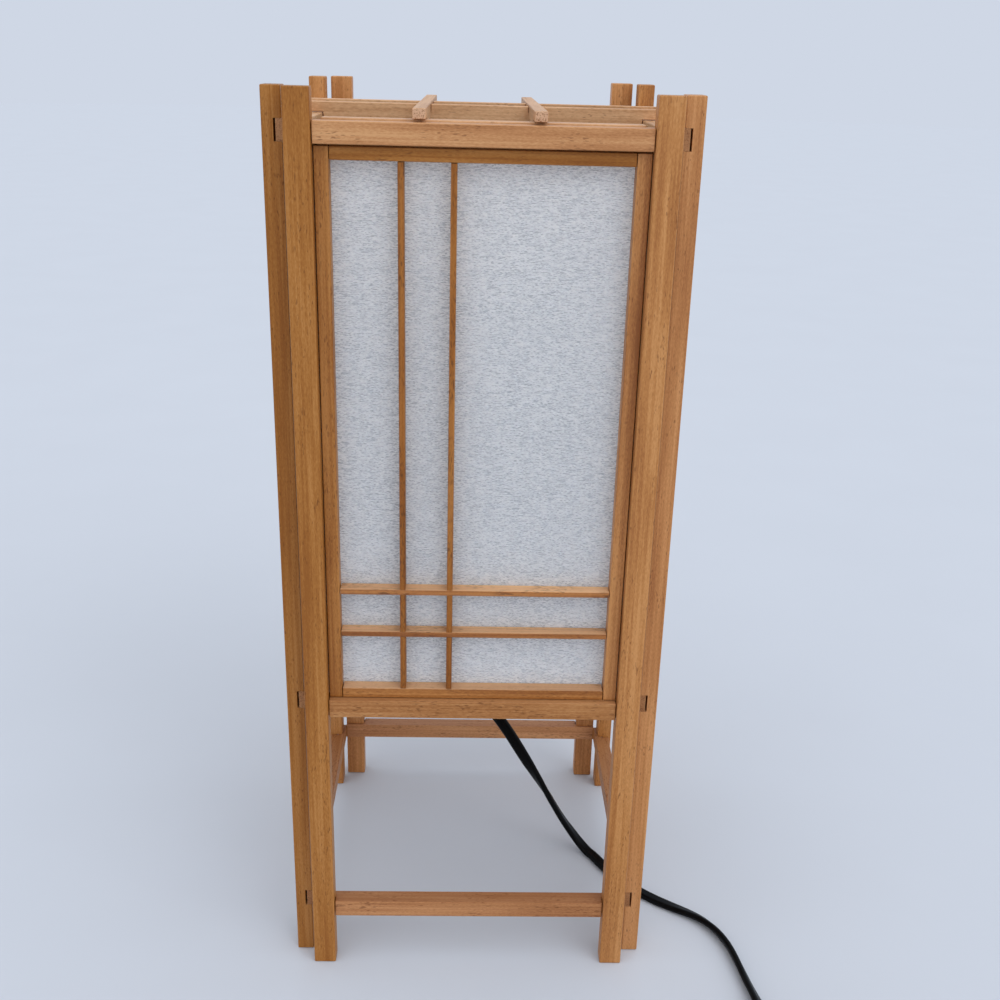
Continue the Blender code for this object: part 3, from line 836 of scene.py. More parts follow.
class BarRows(GrowTree):
    """Tree for rows of straight bars with rounded edges."""

    made: dict[int, "BarRows"] = {}
    edge_steps: int = 3

    def __init__(self, rows: int) -> None:
        """Build the tree for a number of rows: rounded section, swept bars, copies along the step."""
        ends = [f"{end} {row}" for row in range(1, rows + 1) for end in ("From", "To")]
        super().__init__(f"bar_rows_{rows}", {
            "Float": ("Width", "Depth", "Edge Radius"), "Int": ("Bars",),
            "Vector": ("Step", "Width Direction", *ends), "Material": ("Material",)})
        inputs = self.inputs
        section = self.add("GeometryNodeCurvePrimitiveQuadrilateral",
                           {"Width": inputs["Width"], "Height": inputs["Depth"]})
        section = self.add("GeometryNodeFilletCurve", {"Curve": section.outputs[0], "Radius": inputs["Edge Radius"],
                                                       "Count": self.edge_steps, "Limit Radius": True}, mode="POLY")
        places = self.add("GeometryNodeMeshLine", {"Count": inputs["Bars"], "Offset": inputs["Step"]}, mode="OFFSET")
        joined = self.add("GeometryNodeJoinGeometry", {})
        for row in range(1, rows + 1):
            line = self.add("GeometryNodeCurvePrimitiveLine",
                            {"Start": inputs[f"From {row}"], "End": inputs[f"To {row}"]})
            line = self.add("GeometryNodeSetCurveNormal",
                            {"Curve": line.outputs[0], "Normal": inputs["Width Direction"]}, mode="FREE")
            bar = self.add("GeometryNodeCurveToMesh", {"Curve": line.outputs[0], "Profile Curve": section.outputs[0],
                                                       "Fill Caps": True})
            copies = self.add("GeometryNodeInstanceOnPoints",
                              {"Points": places.outputs[0], "Instance": bar.outputs[0]})
            self.links.new(copies.outputs[0], joined.inputs[0])
        self.close(joined.outputs[0])

    @classmethod
    def build(cls, name: str, legs: Sequence[tuple[Point, Point]], sizes: Point, wide: Point,
              material: bpy.types.Material, step: Point = (0.0, 0.0, 0.0), bars: int = 1) -> bpy.types.Object:
        """Make one piece of bars.

        Args:
            name: Name of the piece.
            legs: Start and end of the first bar of each row.
            sizes: Width, depth and edge radius of a bar.
            wide: Direction of the width.
            material: Material of the bars.
            step: From one bar of a row to the next.
            bars: Bars in each row.

        Returns:
            The piece with a plain mesh.
        """
        rows = len(legs)
        if rows not in cls.made:
            cls.made[rows] = cls(rows)
        values: dict[str, object] = {"Width": sizes[0], "Depth": sizes[1], "Edge Radius": sizes[2], "Bars": bars,
                                     "Step": step, "Width Direction": wide, "Material": material}
        for row, (start, end) in enumerate(legs, 1):
            values[f"From {row}"] = start
            values[f"To {row}"] = end
        return cls.made[rows].grow(name, values)


class RingRow(GrowTree):
    """Tree for a stack of rings about the upright axis, each wider than the last by a share."""

    ring_steps: int = 40
    rib_steps: int = 8

    def __init__(self) -> None:
        """Build the tree: ring with a round section, copies along the step, each scaled by its number."""
        super().__init__("ring_row", {"Float": ("Ring Radius", "Rib Radius", "Growth"), "Int": ("Rings",),
                                      "Vector": ("Start", "Step"), "Material": ("Material",)})
        inputs = self.inputs
        circle = self.add("GeometryNodeCurvePrimitiveCircle",
                          {"Resolution": self.ring_steps, "Radius": inputs["Ring Radius"]})
        rib = self.add("GeometryNodeCurvePrimitiveCircle",
                       {"Resolution": self.rib_steps, "Radius": inputs["Rib Radius"]})
        ring = self.add("GeometryNodeCurveToMesh", {"Curve": circle.outputs[0], "Profile Curve": rib.outputs[0]})
        places = self.add("GeometryNodeMeshLine", {"Count": inputs["Rings"], "Start Location": inputs["Start"],
                                                   "Offset": inputs["Step"]})
        number = self.add("GeometryNodeInputIndex", {}).outputs[0]
        growth = self.add("ShaderNodeMath", {0: number, 1: inputs["Growth"], 2: 1.0},
                          operation="MULTIPLY_ADD").outputs[0]
        scale = self.add("ShaderNodeCombineXYZ", {"X": growth, "Y": growth, "Z": 1.0})
        copies = self.add("GeometryNodeInstanceOnPoints", {"Points": places.outputs[0], "Instance": ring.outputs[0],
                                                           "Scale": scale.outputs[0]})
        self.close(copies.outputs[0])


def settle(piece: bpy.types.Object, body: Body, slot: Slot, *nodes: str) -> bpy.types.Object:
    """Fix a finished piece to its body and hide the CAD nodes that it stands for.

    Args:
        piece: The finished piece.
        body: Body that it moves with.
        slot: Material slot of the record; not used.
        nodes: CAD nodes that it stands for.

    Returns:
        The same piece.
    """
    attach(piece, body.value)
    if nodes:
        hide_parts(*nodes)
    LOG.info("%s on %s, %d faces", piece.name, body.value, len(piece.data.polygons))
    return piece


@dataclass(frozen=True)
class SoftLight:
    """One broad, even studio light that is equally strong all over the floor."""

    name: str
    place: Point
    strength: float
    spread: float

    def build(self) -> None:
        """Put the light in the scene, aimed at the middle."""
        lamp = bpy.data.lights.new(self.name, "SUN")
        lamp.energy = self.strength
        lamp.angle = math.radians(self.spread)
        aim = (-Vector(self.place)).to_track_quat("-Z", "Y").to_matrix().to_4x4()
        placed(self.name, lamp).matrix_world = Matrix.Translation(self.place) @ aim


@dataclass
class Studio:
    """Camera at the photograph's view, soft light and a plain pale floor."""

    eye: Point = (-4.09 * MM, -577.7 * MM, 447.1 * MM)
    yaw: float = 0.0294
    pitch: float = 0.3662
    roll: float = 0.0270
    lens: float = 42.25
    sensor: float = 36.0
    near: float = 0.01
    floor_reach: float = 9.0
    floor_sides: int = 64
    ambient: float = 0.79
    sky: Colour = (250, 252, 255)
    backdrop: Colour = (207, 215, 229)
    lights: tuple[SoftLight, ...] = (
        SoftLight("key_light", (1.5, -1.7, 1.6), 0.5, 40.0),
        SoftLight("fill_light", (-1.9, -1.3, 1.2), 0.12, 50.0),
        SoftLight("top_light", (0.25, -0.8, 2.2), 0.6, 70.0),
    )

    def build(self) -> None:
        """Set up the whole studio."""
        bpy.context.scene.view_settings.view_transform = "Standard"
        self.build_camera()
        self.build_floor()
        self.build_world()
        for light in self.lights:
            light.build()

    def build_camera(self) -> None:
        """Put the camera where the photograph was taken from."""
        forward = Vector((math.sin(self.yaw) * math.cos(self.pitch), math.cos(self.yaw) * math.cos(self.pitch),
                          -math.sin(self.pitch)))
        level = Vector((math.cos(self.yaw), -math.sin(self.yaw), 0.0))
        upward = level.cross(forward)
        right = math.cos(self.roll) * level + math.sin(self.roll) * upward
        above = -math.sin(self.roll) * level + math.cos(self.roll) * upward
        data = bpy.data.cameras.new("photo_camera")
        data.lens = self.lens
        data.sensor_width = self.sensor
        data.clip_start = self.near
        camera = placed("photo_camera", data)
        camera.matrix_world = Matrix((
            (right.x, above.x, -forward.x, self.eye[0]),
            (right.y, above.y, -forward.y, self.eye[1]),
            (right.z, above.z, -forward.z, self.eye[2]),
            (0.0, 0.0, 0.0, 1.0),
        ))
        bpy.context.scene.camera = camera

    def build_floor(self) -> None:
        """Lay a wide round floor just under the feet."""
        turns = [2 * math.pi * i / self.floor_sides for i in range(self.floor_sides)]
        rim = [(self.floor_reach * math.cos(a), self.floor_reach * math.sin(a), -AIR) for a in turns]
        mesh = bpy.data.meshes.new("floor")
        mesh.from_pydata(rim, [], [tuple(range(self.floor_sides))])
        floor = coat(placed("floor", mesh), FloorFinish().material())

    def build_world(self) -> None:
        """Even light all round, and a plain pale backdrop for the camera, reflections and glass."""
        world = bpy.data.worlds.new("studio")
        bpy.context.scene.world = world
        world.use_nodes = True
        tree = Wiring(world.node_tree)
        soft = tree.nodes["Background"]
        tree.feed(soft.inputs["Color"], linear(self.sky))
        tree.feed(soft.inputs["Strength"], self.ambient)
        seen = tree.add("ShaderNodeBackground", {"Color": linear(self.backdrop), "Strength": 1.0})
        rays = tree.add("ShaderNodeLightPath", {}).outputs
        share = rays["Is Camera Ray"]
        for name in ("Is Glossy Ray", "Is Transmission Ray"):
            share = tree.add("ShaderNodeMath", {0: share, 1: rays[name]}, operation="MAXIMUM").outputs[0]
        mixed = tree.add("ShaderNodeMixShader", {0: share, 1: soft.outputs[0], 2: seen.outputs[0]})
        tree.feed(tree.nodes["World Output"].inputs["Surface"], mixed.outputs[0])


@dataclass
class FlatCord:
    """Flat two-core cord that follows a path and may twist."""

    width: float = 6.4 * MM
    thick: float = 3.4 * MM
    groove: float = 0.3 * MM
    upright_below: float = 0.05

    def section(self) -> list[tuple[float, float]]:
        """Corners of the section: two round cores with a shallow groove between."""
        core = self.thick / 2
        shift = self.width / 2 - core
        lobe = arc(-90, 90, 30)
        points = [(shift + core * math.cos(a), core * math.sin(a)) for a in lobe]
        points.append((0.0, core - self.groove))
        points += [(-shift - core * math.cos(a), -core * math.sin(a)) for a in lobe]
        points.append((0.0, self.groove - core))
        return points

    def lift(self, twist: np.ndarray) -> np.ndarray:
        """Height of the centre over the table for each twist."""
        return self.thick / 2 + (self.width - self.thick) / 2 * np.abs(np.sin(twist))

    def build(self, name: str, path: np.ndarray, twist: np.ndarray,
              first_level: Point) -> bpy.types.Object:
        """Skin the cord.

        Args:
            name: Name of the piece.
            path: Centres of the rings.
            twist: Angle of the wide side from level at each ring.
            first_level: Level direction across the path where it starts upright.

        Returns:
            The cord.
        """
        ahead = np.gradient(path, axis=0)
        ahead /= np.linalg.norm(ahead, axis=1)[:, None]
        level = np.array(first_level)
        corners = self.section()
        rings = []
        for spot, way, angle in zip(path, ahead, twist):
            across = np.cross(way, (0.0, 0.0, 1.0))
            if np.linalg.norm(across) > self.upright_below:
                level = across / np.linalg.norm(across)
            level = level - way * (level @ way)
            level = level / np.linalg.norm(level)
            upright = np.cross(level, way)
            wide = math.cos(angle) * level + math.sin(angle) * upright
            flat = math.cos(angle) * upright - math.sin(angle) * level
            rings.append([tuple(spot + a * wide + b * flat) for a, b in corners])
        return coat(loft(name, rings), CORD_PLASTIC.material(), 60)


@dataclass
class Lead:
    """Mains lead: hanging stretch, switch, coil with its tie, and plug."""

    cord: FlatCord = field(default_factory=FlatCord)
    round_size: float = 5 * MM
    top: float = 126.3 * MM
    tuck: float = 1.5 * MM
    step: float = 2 * MM
    switch_x: float = 147.5 * MM
    switch_y: float = -175 * MM
    switch_half: float = 31 * MM
    switch_width: float = 26 * MM
    switch_height: float = 18 * MM
    switch_round: float = 4 * MM
    seam: float = 0.4 * MM
    seam_half: float = 0.35 * MM
    entry: float = 7.56 * MM
    rocker_length: float = 19 * MM
    rocker_width: float = 13 * MM
    rocker_play: float = 0.7 * MM
    pocket: float = 7 * MM
    rocker_tilt: float = math.radians(7)
    coil_x: float = 86 * MM
    coil_y: float = -194 * MM
    coil_outer: float = 43.3 * MM
    coil_pitch: float = 5.7 * MM
    coil_layer: float = 6.8 * MM
    coil_turns: int = 3
    coil_steps: int = 84
    tie_lift: float = 1.45 * MM
    run_out: float = 34 * MM
    plug_x: float = 51.7 * MM
    plug_length: float = 36 * MM
    plug_face: float = 35 * MM
    plug_tail: float = 11 * MM
    plug_thick: float = 14 * MM
    pin_spacing: float = 18.6 * MM

    def build(self) -> None:
        """Build the lead and everything on it."""
        switch = self.build_switch()
        first = self.build_first()
        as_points(first[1])
        second = self.build_second()
        ends = self.build_plug() + [self.build_tie()]
        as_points(second[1])

    def build_first(self) -> tuple[bpy.types.Object, np.ndarray]:
        """Stretch from the strain relief down to the table and out to the switch.

        Returns:
            The cord and its path.
        """
        floor_z = self.round_size / 2 + 0.1 * MM
        gate = self.switch_y + self.switch_half
        air = ((0.0, 0.0, 1.0), (0.0, 0.0, 0.955), (3.6, 0.4, 0.878), (9.8, 1.2, 0.79), (16.4, 2.0, 0.709),
               (31.6, 4.0, 0.494), (46.6, 6.0, 0.272), (56.6, 6.6, 0.125), (63.6, 5.0, 0.05))
        floor = ((71.2, -0.6), (77.6, -11.0), (88.0, -26.0), (101.6, -39.6), (117.0, -50.6), (127.4, -58.4),
                 (134.2, -67.5), (138.2, -76.9), (141.0, -89.3), (143.2, -104.0))
        points = [(0.0, 0.0, self.top + self.tuck)]
        points += [(x * MM, y * MM, floor_z + part * (self.top - floor_z)) for x, y, part in air]
        points += [(x * MM, y * MM, floor_z) for x, y in floor]
        points += [(145.4 * MM, -120.0 * MM, floor_z + 0.3 * (self.entry - floor_z))]
        points += [(self.switch_x, gate + self.round_size, self.entry), (self.switch_x, gate - self.tuck, self.entry)]
        path = through(points, self.step)
        run = run_of(path)
        keys = ((0, 90), (62, 90), (89, 34), (107, 0), (196, 0), (215, 12), (230, 36), (246, 60), (262, 68),
                (277, 58), (293, 46), (313, 0), (330, 0))
        twist = np.radians(smooth_keys(run / MM, keys))
        near = 1 - eased((path[:, 2] - floor_z) / (12 * MM))
        path[:, 2] -= near * (floor_z - self.cord.lift(twist))
        path[:, 2] = np.maximum(path[:, 2], self.cord.lift(twist) + 0.05 * MM)
        lead = self.cord.build("lead_to_switch", path, twist, (0.0, -1.0, 0.0))
        settle(lead, Body.LAMP, Slot.LEAD, "cord_lead")
        return lead, path

    def build_second(self) -> tuple[bpy.types.Object, np.ndarray]:
        """Stretch from the switch to the plug: a short tail, the coil and the run to the plug.

        Returns:
            The cord and its path.
        """
        gate = self.switch_y - self.switch_half
        low_y = self.coil_y - self.coil_outer
        bend = gate - FIT - self.round_size - low_y
        tail = [(self.switch_x, gate + self.tuck, 0.0), (self.switch_x, gate - FIT - self.round_size, 0.0)]
        for i in range(1, 13):
            turn = math.pi / 2 * i / 12
            tail.append((self.switch_x - bend * (1 - math.cos(turn)), low_y + bend * (1 - math.sin(turn)), 0.0))
        tail.append((self.coil_x + self.step, low_y, 0.0))
        tail = even_steps(np.array(tail), self.step)
        length = run_of(tail)
        reach = length[-1]
        tail_twist = np.radians(90) * eased((length - 0.45 * reach) / (0.5 * reach))
        drop = eased((length - self.tuck - 2 * MM) / (30 * MM))
        tail[:, 2] = self.entry * (1 - drop) + drop * (self.cord.lift(tail_twist) + 0.15 * MM)
        turns = np.linspace(0.0, 2.0 * self.coil_turns, 2 * self.coil_turns * self.coil_steps + 1)
        angle = 2 * math.pi * turns
        radius = self.coil_outer - self.coil_pitch * (self.coil_turns - np.abs(turns - self.coil_turns))
        climb = eased(2 * (turns - self.coil_turns) + 0.5)
        off = np.abs((np.degrees(angle) - 90 + 180) % 360 - 180)
        rise = self.tie_lift * (1 - eased((off - 12) / 50))
        base = self.cord.width / 2 + 0.15 * MM
        coil = np.stack([self.coil_x - radius * np.sin(angle), self.coil_y - radius * np.cos(angle),
                         base + rise + self.coil_layer * climb], axis=1)
        share = np.linspace(0.0, 1.0, 18)[1:]
        away = self.run_out + self.tuck
        out_z = coil[-1, 2] + (self.plug_thick / 2 - coil[-1, 2]) * eased(share)
        out = np.stack([self.coil_x - away * share, np.full(len(share), low_y), out_z], axis=1)
        path = np.vstack([tail, coil, out])
        on_edge = np.full(len(coil), math.radians(90))
        twist = np.concatenate([tail_twist, on_edge, np.radians(90) * (1 - eased(share / 0.9))])
        lead = self.cord.build("lead_to_plug", path, twist, (-1.0, 0.0, 0.0))
        settle(lead, Body.LAMP, Slot.LEAD, "cord_tail", "cord_coil")
        return lead, path

    def switch_ring(self, along: float) -> list[Point]:
        """Section of the switch case at a distance from its middle.

        Args:
            along: Place along the case.

        Returns:
            Points around the section.
        """
        end = self.switch_half - abs(along)
        inner = max(0.0, self.switch_round - end)
        curl = self.switch_round - math.sqrt(max(0.0, self.switch_round ** 2 - inner ** 2))
        share = min(1.0, max(0.0, (abs(along) - 0.4 * self.switch_half) / (0.6 * self.switch_half)))
        share = 0.6 * share + 0.4 * float(eased(share))
        half = self.switch_width / 2 * (1 - 0.45 * share) - curl
        low = curl
        high = self.switch_height - curl - 1.5 * MM * share
        soft = min(self.switch_round, half * 0.6, (high - low) * 0.4)
        middle = 0.5 * self.switch_height
        groove = min(self.seam, 0.3 * half)
        quarter = arc(0, 90, 18)
        right = [(half - soft + soft * math.sin(a), low + soft - soft * math.cos(a)) for a in quarter]
        right += [(half, middle - self.seam_half), (half - groove, middle), (half, middle + self.seam_half)]
        right += [(half - soft + soft * math.cos(a), high - soft + soft * math.sin(a)) for a in quarter]
        points = right + [(-x, z) for x, z in reversed(right)]
        return [(self.switch_x + x, self.switch_y + along, z) for x, z in points]

    def build_switch(self) -> list[bpy.types.Object]:
        """Case with a seam and grip ribs, and the rocker in its pocket.

        Returns:
            The pieces of the switch.
        """
        ends = [0.0, 0.25, 0.8, 1.6, 2.6, 4.0]
        places = [-self.switch_half + d * MM for d in ends]
        places += [x * MM for x in np.linspace(-24.0, 24.0, 17)]
        places += [self.switch_half - d * MM for d in reversed(ends)]
        case = loft("switch_case", [self.switch_ring(p) for p in places])
        along = self.rocker_length / 2 + self.rocker_play
        across = self.rocker_width / 2 + self.rocker_play
        low, high = self.switch_height - self.pocket, self.switch_height + self.pocket
        cutter = block("switch_cutter", (self.switch_x - across, self.switch_y - along, low),
                       (self.switch_x + across, self.switch_y + along, high))
        cut = case.modifiers.new("pocket", "BOOLEAN")
        cut.operation = "DIFFERENCE"
        cut.solver = "EXACT"
        cut.object = cutter
        bake(case)
        bpy.data.objects.remove(cutter)
        case.data.shade_smooth()
        coat(case, SWITCH_PLASTIC.material(), 38)
        settle(case, Body.LAMP, Slot.SWITCH, "switch_body")
        ribs = []
        for label, way in (("near", -1.0), ("far", 1.0)):
            start = self.switch_y + way * 15.5 * MM
            z = self.switch_height - 0.25 * MM
            legs = [((self.switch_x - 5 * MM, start, z), (self.switch_x + 5 * MM, start, z))]
            rib = BarRows.build("switch_ribs_" + label, legs, (1.1 * MM, 1.0 * MM, 0.4 * MM), (0.0, 1.0, 0.0),
                                case.data.materials[0], (0.0, way * 2.2 * MM, -0.16 * MM), 4)
            ribs.append(settle(rib, Body.LAMP, Slot.SWITCH))
        return [case, *ribs, *self.build_rocker()]

    def build_rocker(self) -> list[bpy.types.Object]:
        """Rocker with a dished top and a raised mark on its on side."""
        half = self.rocker_length / 2
        deep = self.pocket
        axle = self.switch_height - 0.25 * deep
        shape = [(-0.8 * half, -0.42 * deep), (0.8 * half, -0.42 * deep), (0.97 * half, 0.1 * deep)]
        for i in range(17):
            share = 1 - i / 8
            shape.append((0.97 * half * share, deep * (0.3 + 0.22 * abs(share) ** 1.6)))
        shape.append((-0.97 * half, 0.1 * deep))
        c, s = math.cos(self.rocker_tilt), math.sin(self.rocker_tilt)
        outline = [(self.switch_y + c * a - s * b, axle + s * a + c * b) for a, b in shape]
        rocker = prism("rocker_cap", outline, "x", self.switch_x - self.rocker_width / 2,
                       self.switch_x + self.rocker_width / 2)
        coat(round_edges(rocker, 0.5 * MM, 3, 40.0), ROCKER_PLASTIC.material())
        settle(rocker, Body.ROCKER, Slot.SWITCH, "switch_rocker")
        a, b = 0.62 * half, deep * 0.4
        y, z = self.switch_y + c * a - s * b, axle + s * a + c * b
        mark = BarRows.build("rocker_mark", [((self.switch_x - 2.4 * MM, y, z), (self.switch_x + 2.4 * MM, y, z))],
                             (1.0 * MM, 0.9 * MM, 0.35 * MM), (0.0, c, s), rocker.data.materials[0])
        return [rocker, settle(mark, Body.ROCKER, Slot.SWITCH)]

    def build_tie(self) -> bpy.types.Object:
        """Strap around one side of the coil."""
        low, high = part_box("coil_tie")
        thick = 1 * MM
        curve = 2.2 * MM

        def loop(inset: float) -> list[tuple[float, float]]:
            """Rounded loop at an inset from the strap's outside."""
            soft = max(0.4 * MM, curve - inset)
            corners = ((high.x, low.z, -90), (high.x, high.z, 0), (low.x, high.z, 90), (low.x, low.z, 180))
            points = []
            for x, z, start in corners:
                mid_x = x - math.copysign(inset + soft, x - (low.x + high.x) / 2)
                mid_z = z - math.copysign(inset + soft, z - (low.z + high.z) / 2)
                for a in arc(start, start + 90, 15):
                    points.append((mid_x + soft * math.cos(a), mid_z + soft * math.sin(a)))
            return points

        outer, inner = loop(0.0), loop(thick)
        count = len(outer)
        verts = []
        for points, y in ((outer, low.y), (outer, high.y), (inner, high.y), (inner, low.y)):
            verts += [(x, y, z) for x, z in points]
        faces = []
        for k in range(4):
            for i in range(count):
                j = (i + 1) % count
                a, b = k * count, (k + 1) % 4 * count
                faces.append((a + i, a + j, b + j, b + i))
        tie = closed_mesh("coil_strap", verts, faces)
        coat(round_edges(tie, 0.25 * MM, 2, 50.0), TIE_PLASTIC.material())
        return settle(tie, Body.LAMP, Slot.TIE, "coil_tie")

    def build_plug(self) -> list[bpy.types.Object]:
        """Flat two-pin plug with grip ribs, sleeved pins and bright tips.

        Returns:
            The pieces of the plug.
        """
        x, y = self.plug_x, self.coil_y - self.coil_outer
        face = x - self.plug_length
        half = [(x, self.plug_tail / 2)]
        half += [(x - a * self.plug_length, b * self.plug_face) for a, b in ((0.2, 0.2), (0.45, 0.36), (0.62, 0.43))]
        half += [(face + 0.2 * self.plug_length, self.plug_face / 2), (face, self.plug_face / 2)]
        outline = [(a, y + b) for a, b in half] + [(a, y - b) for a, b in reversed(half)]
        shell = prism("plug_shell", outline, "z", 0.0, self.plug_thick)
        coat(round_edges(shell, 2.2 * MM, 4, 40.0), SWITCH_PLASTIC.material())
        settle(shell, Body.LAMP, Slot.LEAD, "plug_body")
        pieces = [shell]
        z = self.plug_thick
        legs = [((x - 11 * MM, y - 5.5 * MM, z), (x - 11 * MM, y + 5.5 * MM, z))]
        ribs = BarRows.build("plug_ribs", legs, (1.2 * MM, 0.9 * MM, 0.4 * MM), (1.0, 0.0, 0.0),
                             shell.data.materials[0], (-2.4 * MM, 0.0, 0.0), 6)
        pieces.append(settle(ribs, Body.LAMP, Slot.LEAD))
        sleeve = [(0.0, -2.0), (2.0, -2.0), (2.0, 9.4), (1.75, 10.0), (0.0, 10.0)]
        tip = [(0.0, 9.0), (1.7, 9.0), (1.7, 17.4), (1.45, 18.4), (0.8, 18.9), (0.0, 19.0)]
        lay = Matrix.Rotation(math.radians(-90), 4, "Y")
        for number, shift in ((1, -0.5), (2, 0.5)):
            place = Matrix.Translation((face, y + shift * self.pin_spacing, self.plug_thick / 2)) @ lay
            for label, profile, finish in (("sleeve", sleeve, HOLDER_PLASTIC), ("pin", tip, PIN_METAL)):
                piece = lathe(f"plug_{label}_{number}", [(r * MM, h * MM) for r, h in profile], 24)
                piece.data.transform(place)
                pieces.append(settle(coat(piece, finish.material(), 40), Body.LAMP, Slot.LEAD))
        return pieces


def smooth_keys(run: np.ndarray, keys: Sequence[tuple[float, float]]) -> np.ndarray:
    """Value along a run that eases from each key to the next.

    Args:
        run: Places along the run.
        keys: Pairs of place and value.

    Returns:
        The value at each place.
    """
    places = np.array([k for k, _ in keys], float)
    values = np.array([v for _, v in keys], float)
    slopes = np.gradient(values, places)
    slopes[[0, -1]] = 0.0
    flat = np.concatenate([[False], (np.diff(values)[:-1] == 0) | (np.diff(values)[1:] == 0), [False]])
    slopes[flat] = 0.0
    spot = np.clip(np.searchsorted(places, run, side="right") - 1, 0, len(places) - 2)
    wide = places[spot + 1] - places[spot]
    t = np.clip((run - places[spot]) / wide, 0.0, 1.0)
    start, end = values[spot], values[spot + 1]
    return ((2 * t ** 3 - 3 * t ** 2 + 1) * start + (t ** 3 - 2 * t ** 2 + t) * wide * slopes[spot]
            + (3 * t ** 2 - 2 * t ** 3) * end + (t ** 3 - t ** 2) * wide * slopes[spot + 1])


@dataclass
class LampFrame:
    """Eight posts and twelve rails, all four sides alike."""

    post_round: float = 0.6 * MM
    rail_round: float = 0.5 * MM
    notch: float = 4.9 * MM
    slit: float = 0.9 * MM
    ledge_half: float = 66 * MM
    ledge_rise: float = 0.8 * MM
    glue: float = 1.1 * MM
    glue_round: float = 0.1 * MM
    rails: tuple[str, ...] = ("stretcher", "lower_rail", "upper_rail")

    def build(self) -> None:
        """Build every side."""
        for side in Side:
            self.build_posts(side)
            self.build_rails(side)
            self.build_ledge(side)
        self.build_glue()

    @property
    def back(self) -> float:
        """Inner face of the front rails' tongues."""
        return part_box("stretcher_front")[1].y

    def build_ledge(self, side: Side) -> None:
        """Lath inside the upper rail; at the front and back it stands a little above the rail."""
        low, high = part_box("upper_rail_front")
        rise = self.ledge_rise if side in (Side.FRONT, Side.BACK) else 0.0
        node = "upper_rail_" + side.label
        lath = block("upper_ledge_" + side.label + "_wood", (-self.ledge_half, self.back + AIR, low.z),
                     (self.ledge_half, high.y, high.z + rise), side)
        round_edges(lath, self.rail_round)
        GRILLE_WOOD.dress(lath, Grain.ALONG_X.turned(side))
        settle(lath, Body.LAMP, Slot.FRAME_WOOD, node)

    def build_glue(self) -> None:
        """Thin lines of glued wood where the tongues of two sides meet corner to corner."""
        legs = []
        for rail in self.rails:
            low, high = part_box(rail + "_front")
            x, y = high.x + self.glue_round, self.back + self.glue_round
            heights = (low.z + self.rail_round, high.z - self.rail_round)
            legs += [tuple(side.turn((x, y, z)) for z in heights) for side in Side]
        glue = BarRows.build("corner_glue", legs, (self.glue, self.glue, self.glue_round), (1.0, 0.0, 0.0),
                             FRAME_WOOD.material(Grain.ALONG_Z))
        FRAME_WOOD.dress(glue, Grain.ALONG_Z)
        settle(glue, Body.LAMP, Slot.FRAME_WOOD)

    def build_posts(self, side: Side) -> None:
        """Two posts, notched on the inside for the rails' tongues."""
        for hand in ("left", "right"):
            low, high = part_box("post_front_" + hand)
            outline = [(low.y, low.z), (high.y, low.z)]
            for rail in self.rails:
                bottom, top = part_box(rail + "_front")
                outline += [(high.y, bottom.z - AIR), (low.y + self.notch, bottom.z - AIR)]
                outline += [(low.y + self.notch, top.z + AIR), (high.y, top.z + AIR)]
            outline += [(high.y, high.z), (low.y, high.z)]
            node = "post_" + side.label + "_" + hand
            post = prism(node + "_wood", outline, "x", low.x, high.x, side)
            round_edges(post, self.post_round, keen=self.in_notch)
            FRAME_WOOD.dress(post, Grain.ALONG_Z)
            settle(post, Body.LAMP, Slot.FRAME_WOOD, node)

    def in_notch(self, point: Vector) -> bool:
        """Whether a point of a post is at the height of a rail's tongue."""
        boxes = (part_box(rail + "_front") for rail in self.rails)
        return any(low.z - FIT < point.z < high.z + FIT for low, high in boxes)

    def build_rails(self, side: Side) -> None:
        """Three rails, each with a thinner tongue across both posts."""
        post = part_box("post_front_right")[0]
        shoulder = post.x - FIT
        tongue = post.y + self.notch + self.slit
        for rail in self.rails:
            low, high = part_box(rail + "_front")
            outline = [(-shoulder, low.y), (shoulder, low.y), (shoulder, tongue), (high.x, tongue), (high.x, self.back),
                       (low.x, self.back), (low.x, tongue), (-shoulder, tongue)]
            node = rail + "_" + side.label
            piece = prism(node + "_wood", outline, "z", low.z, high.z, side)
            round_edges(piece, self.rail_round, keen=lambda point: abs(side.unturn(point)[0]) > shoulder + MM)
            wood = FOOT_WOOD if rail == "stretcher" else RAIL_WOOD
            wood.dress(piece, Grain.ALONG_X.turned(side))
            settle(piece, Body.LAMP, Slot.FRAME_WOOD, node)


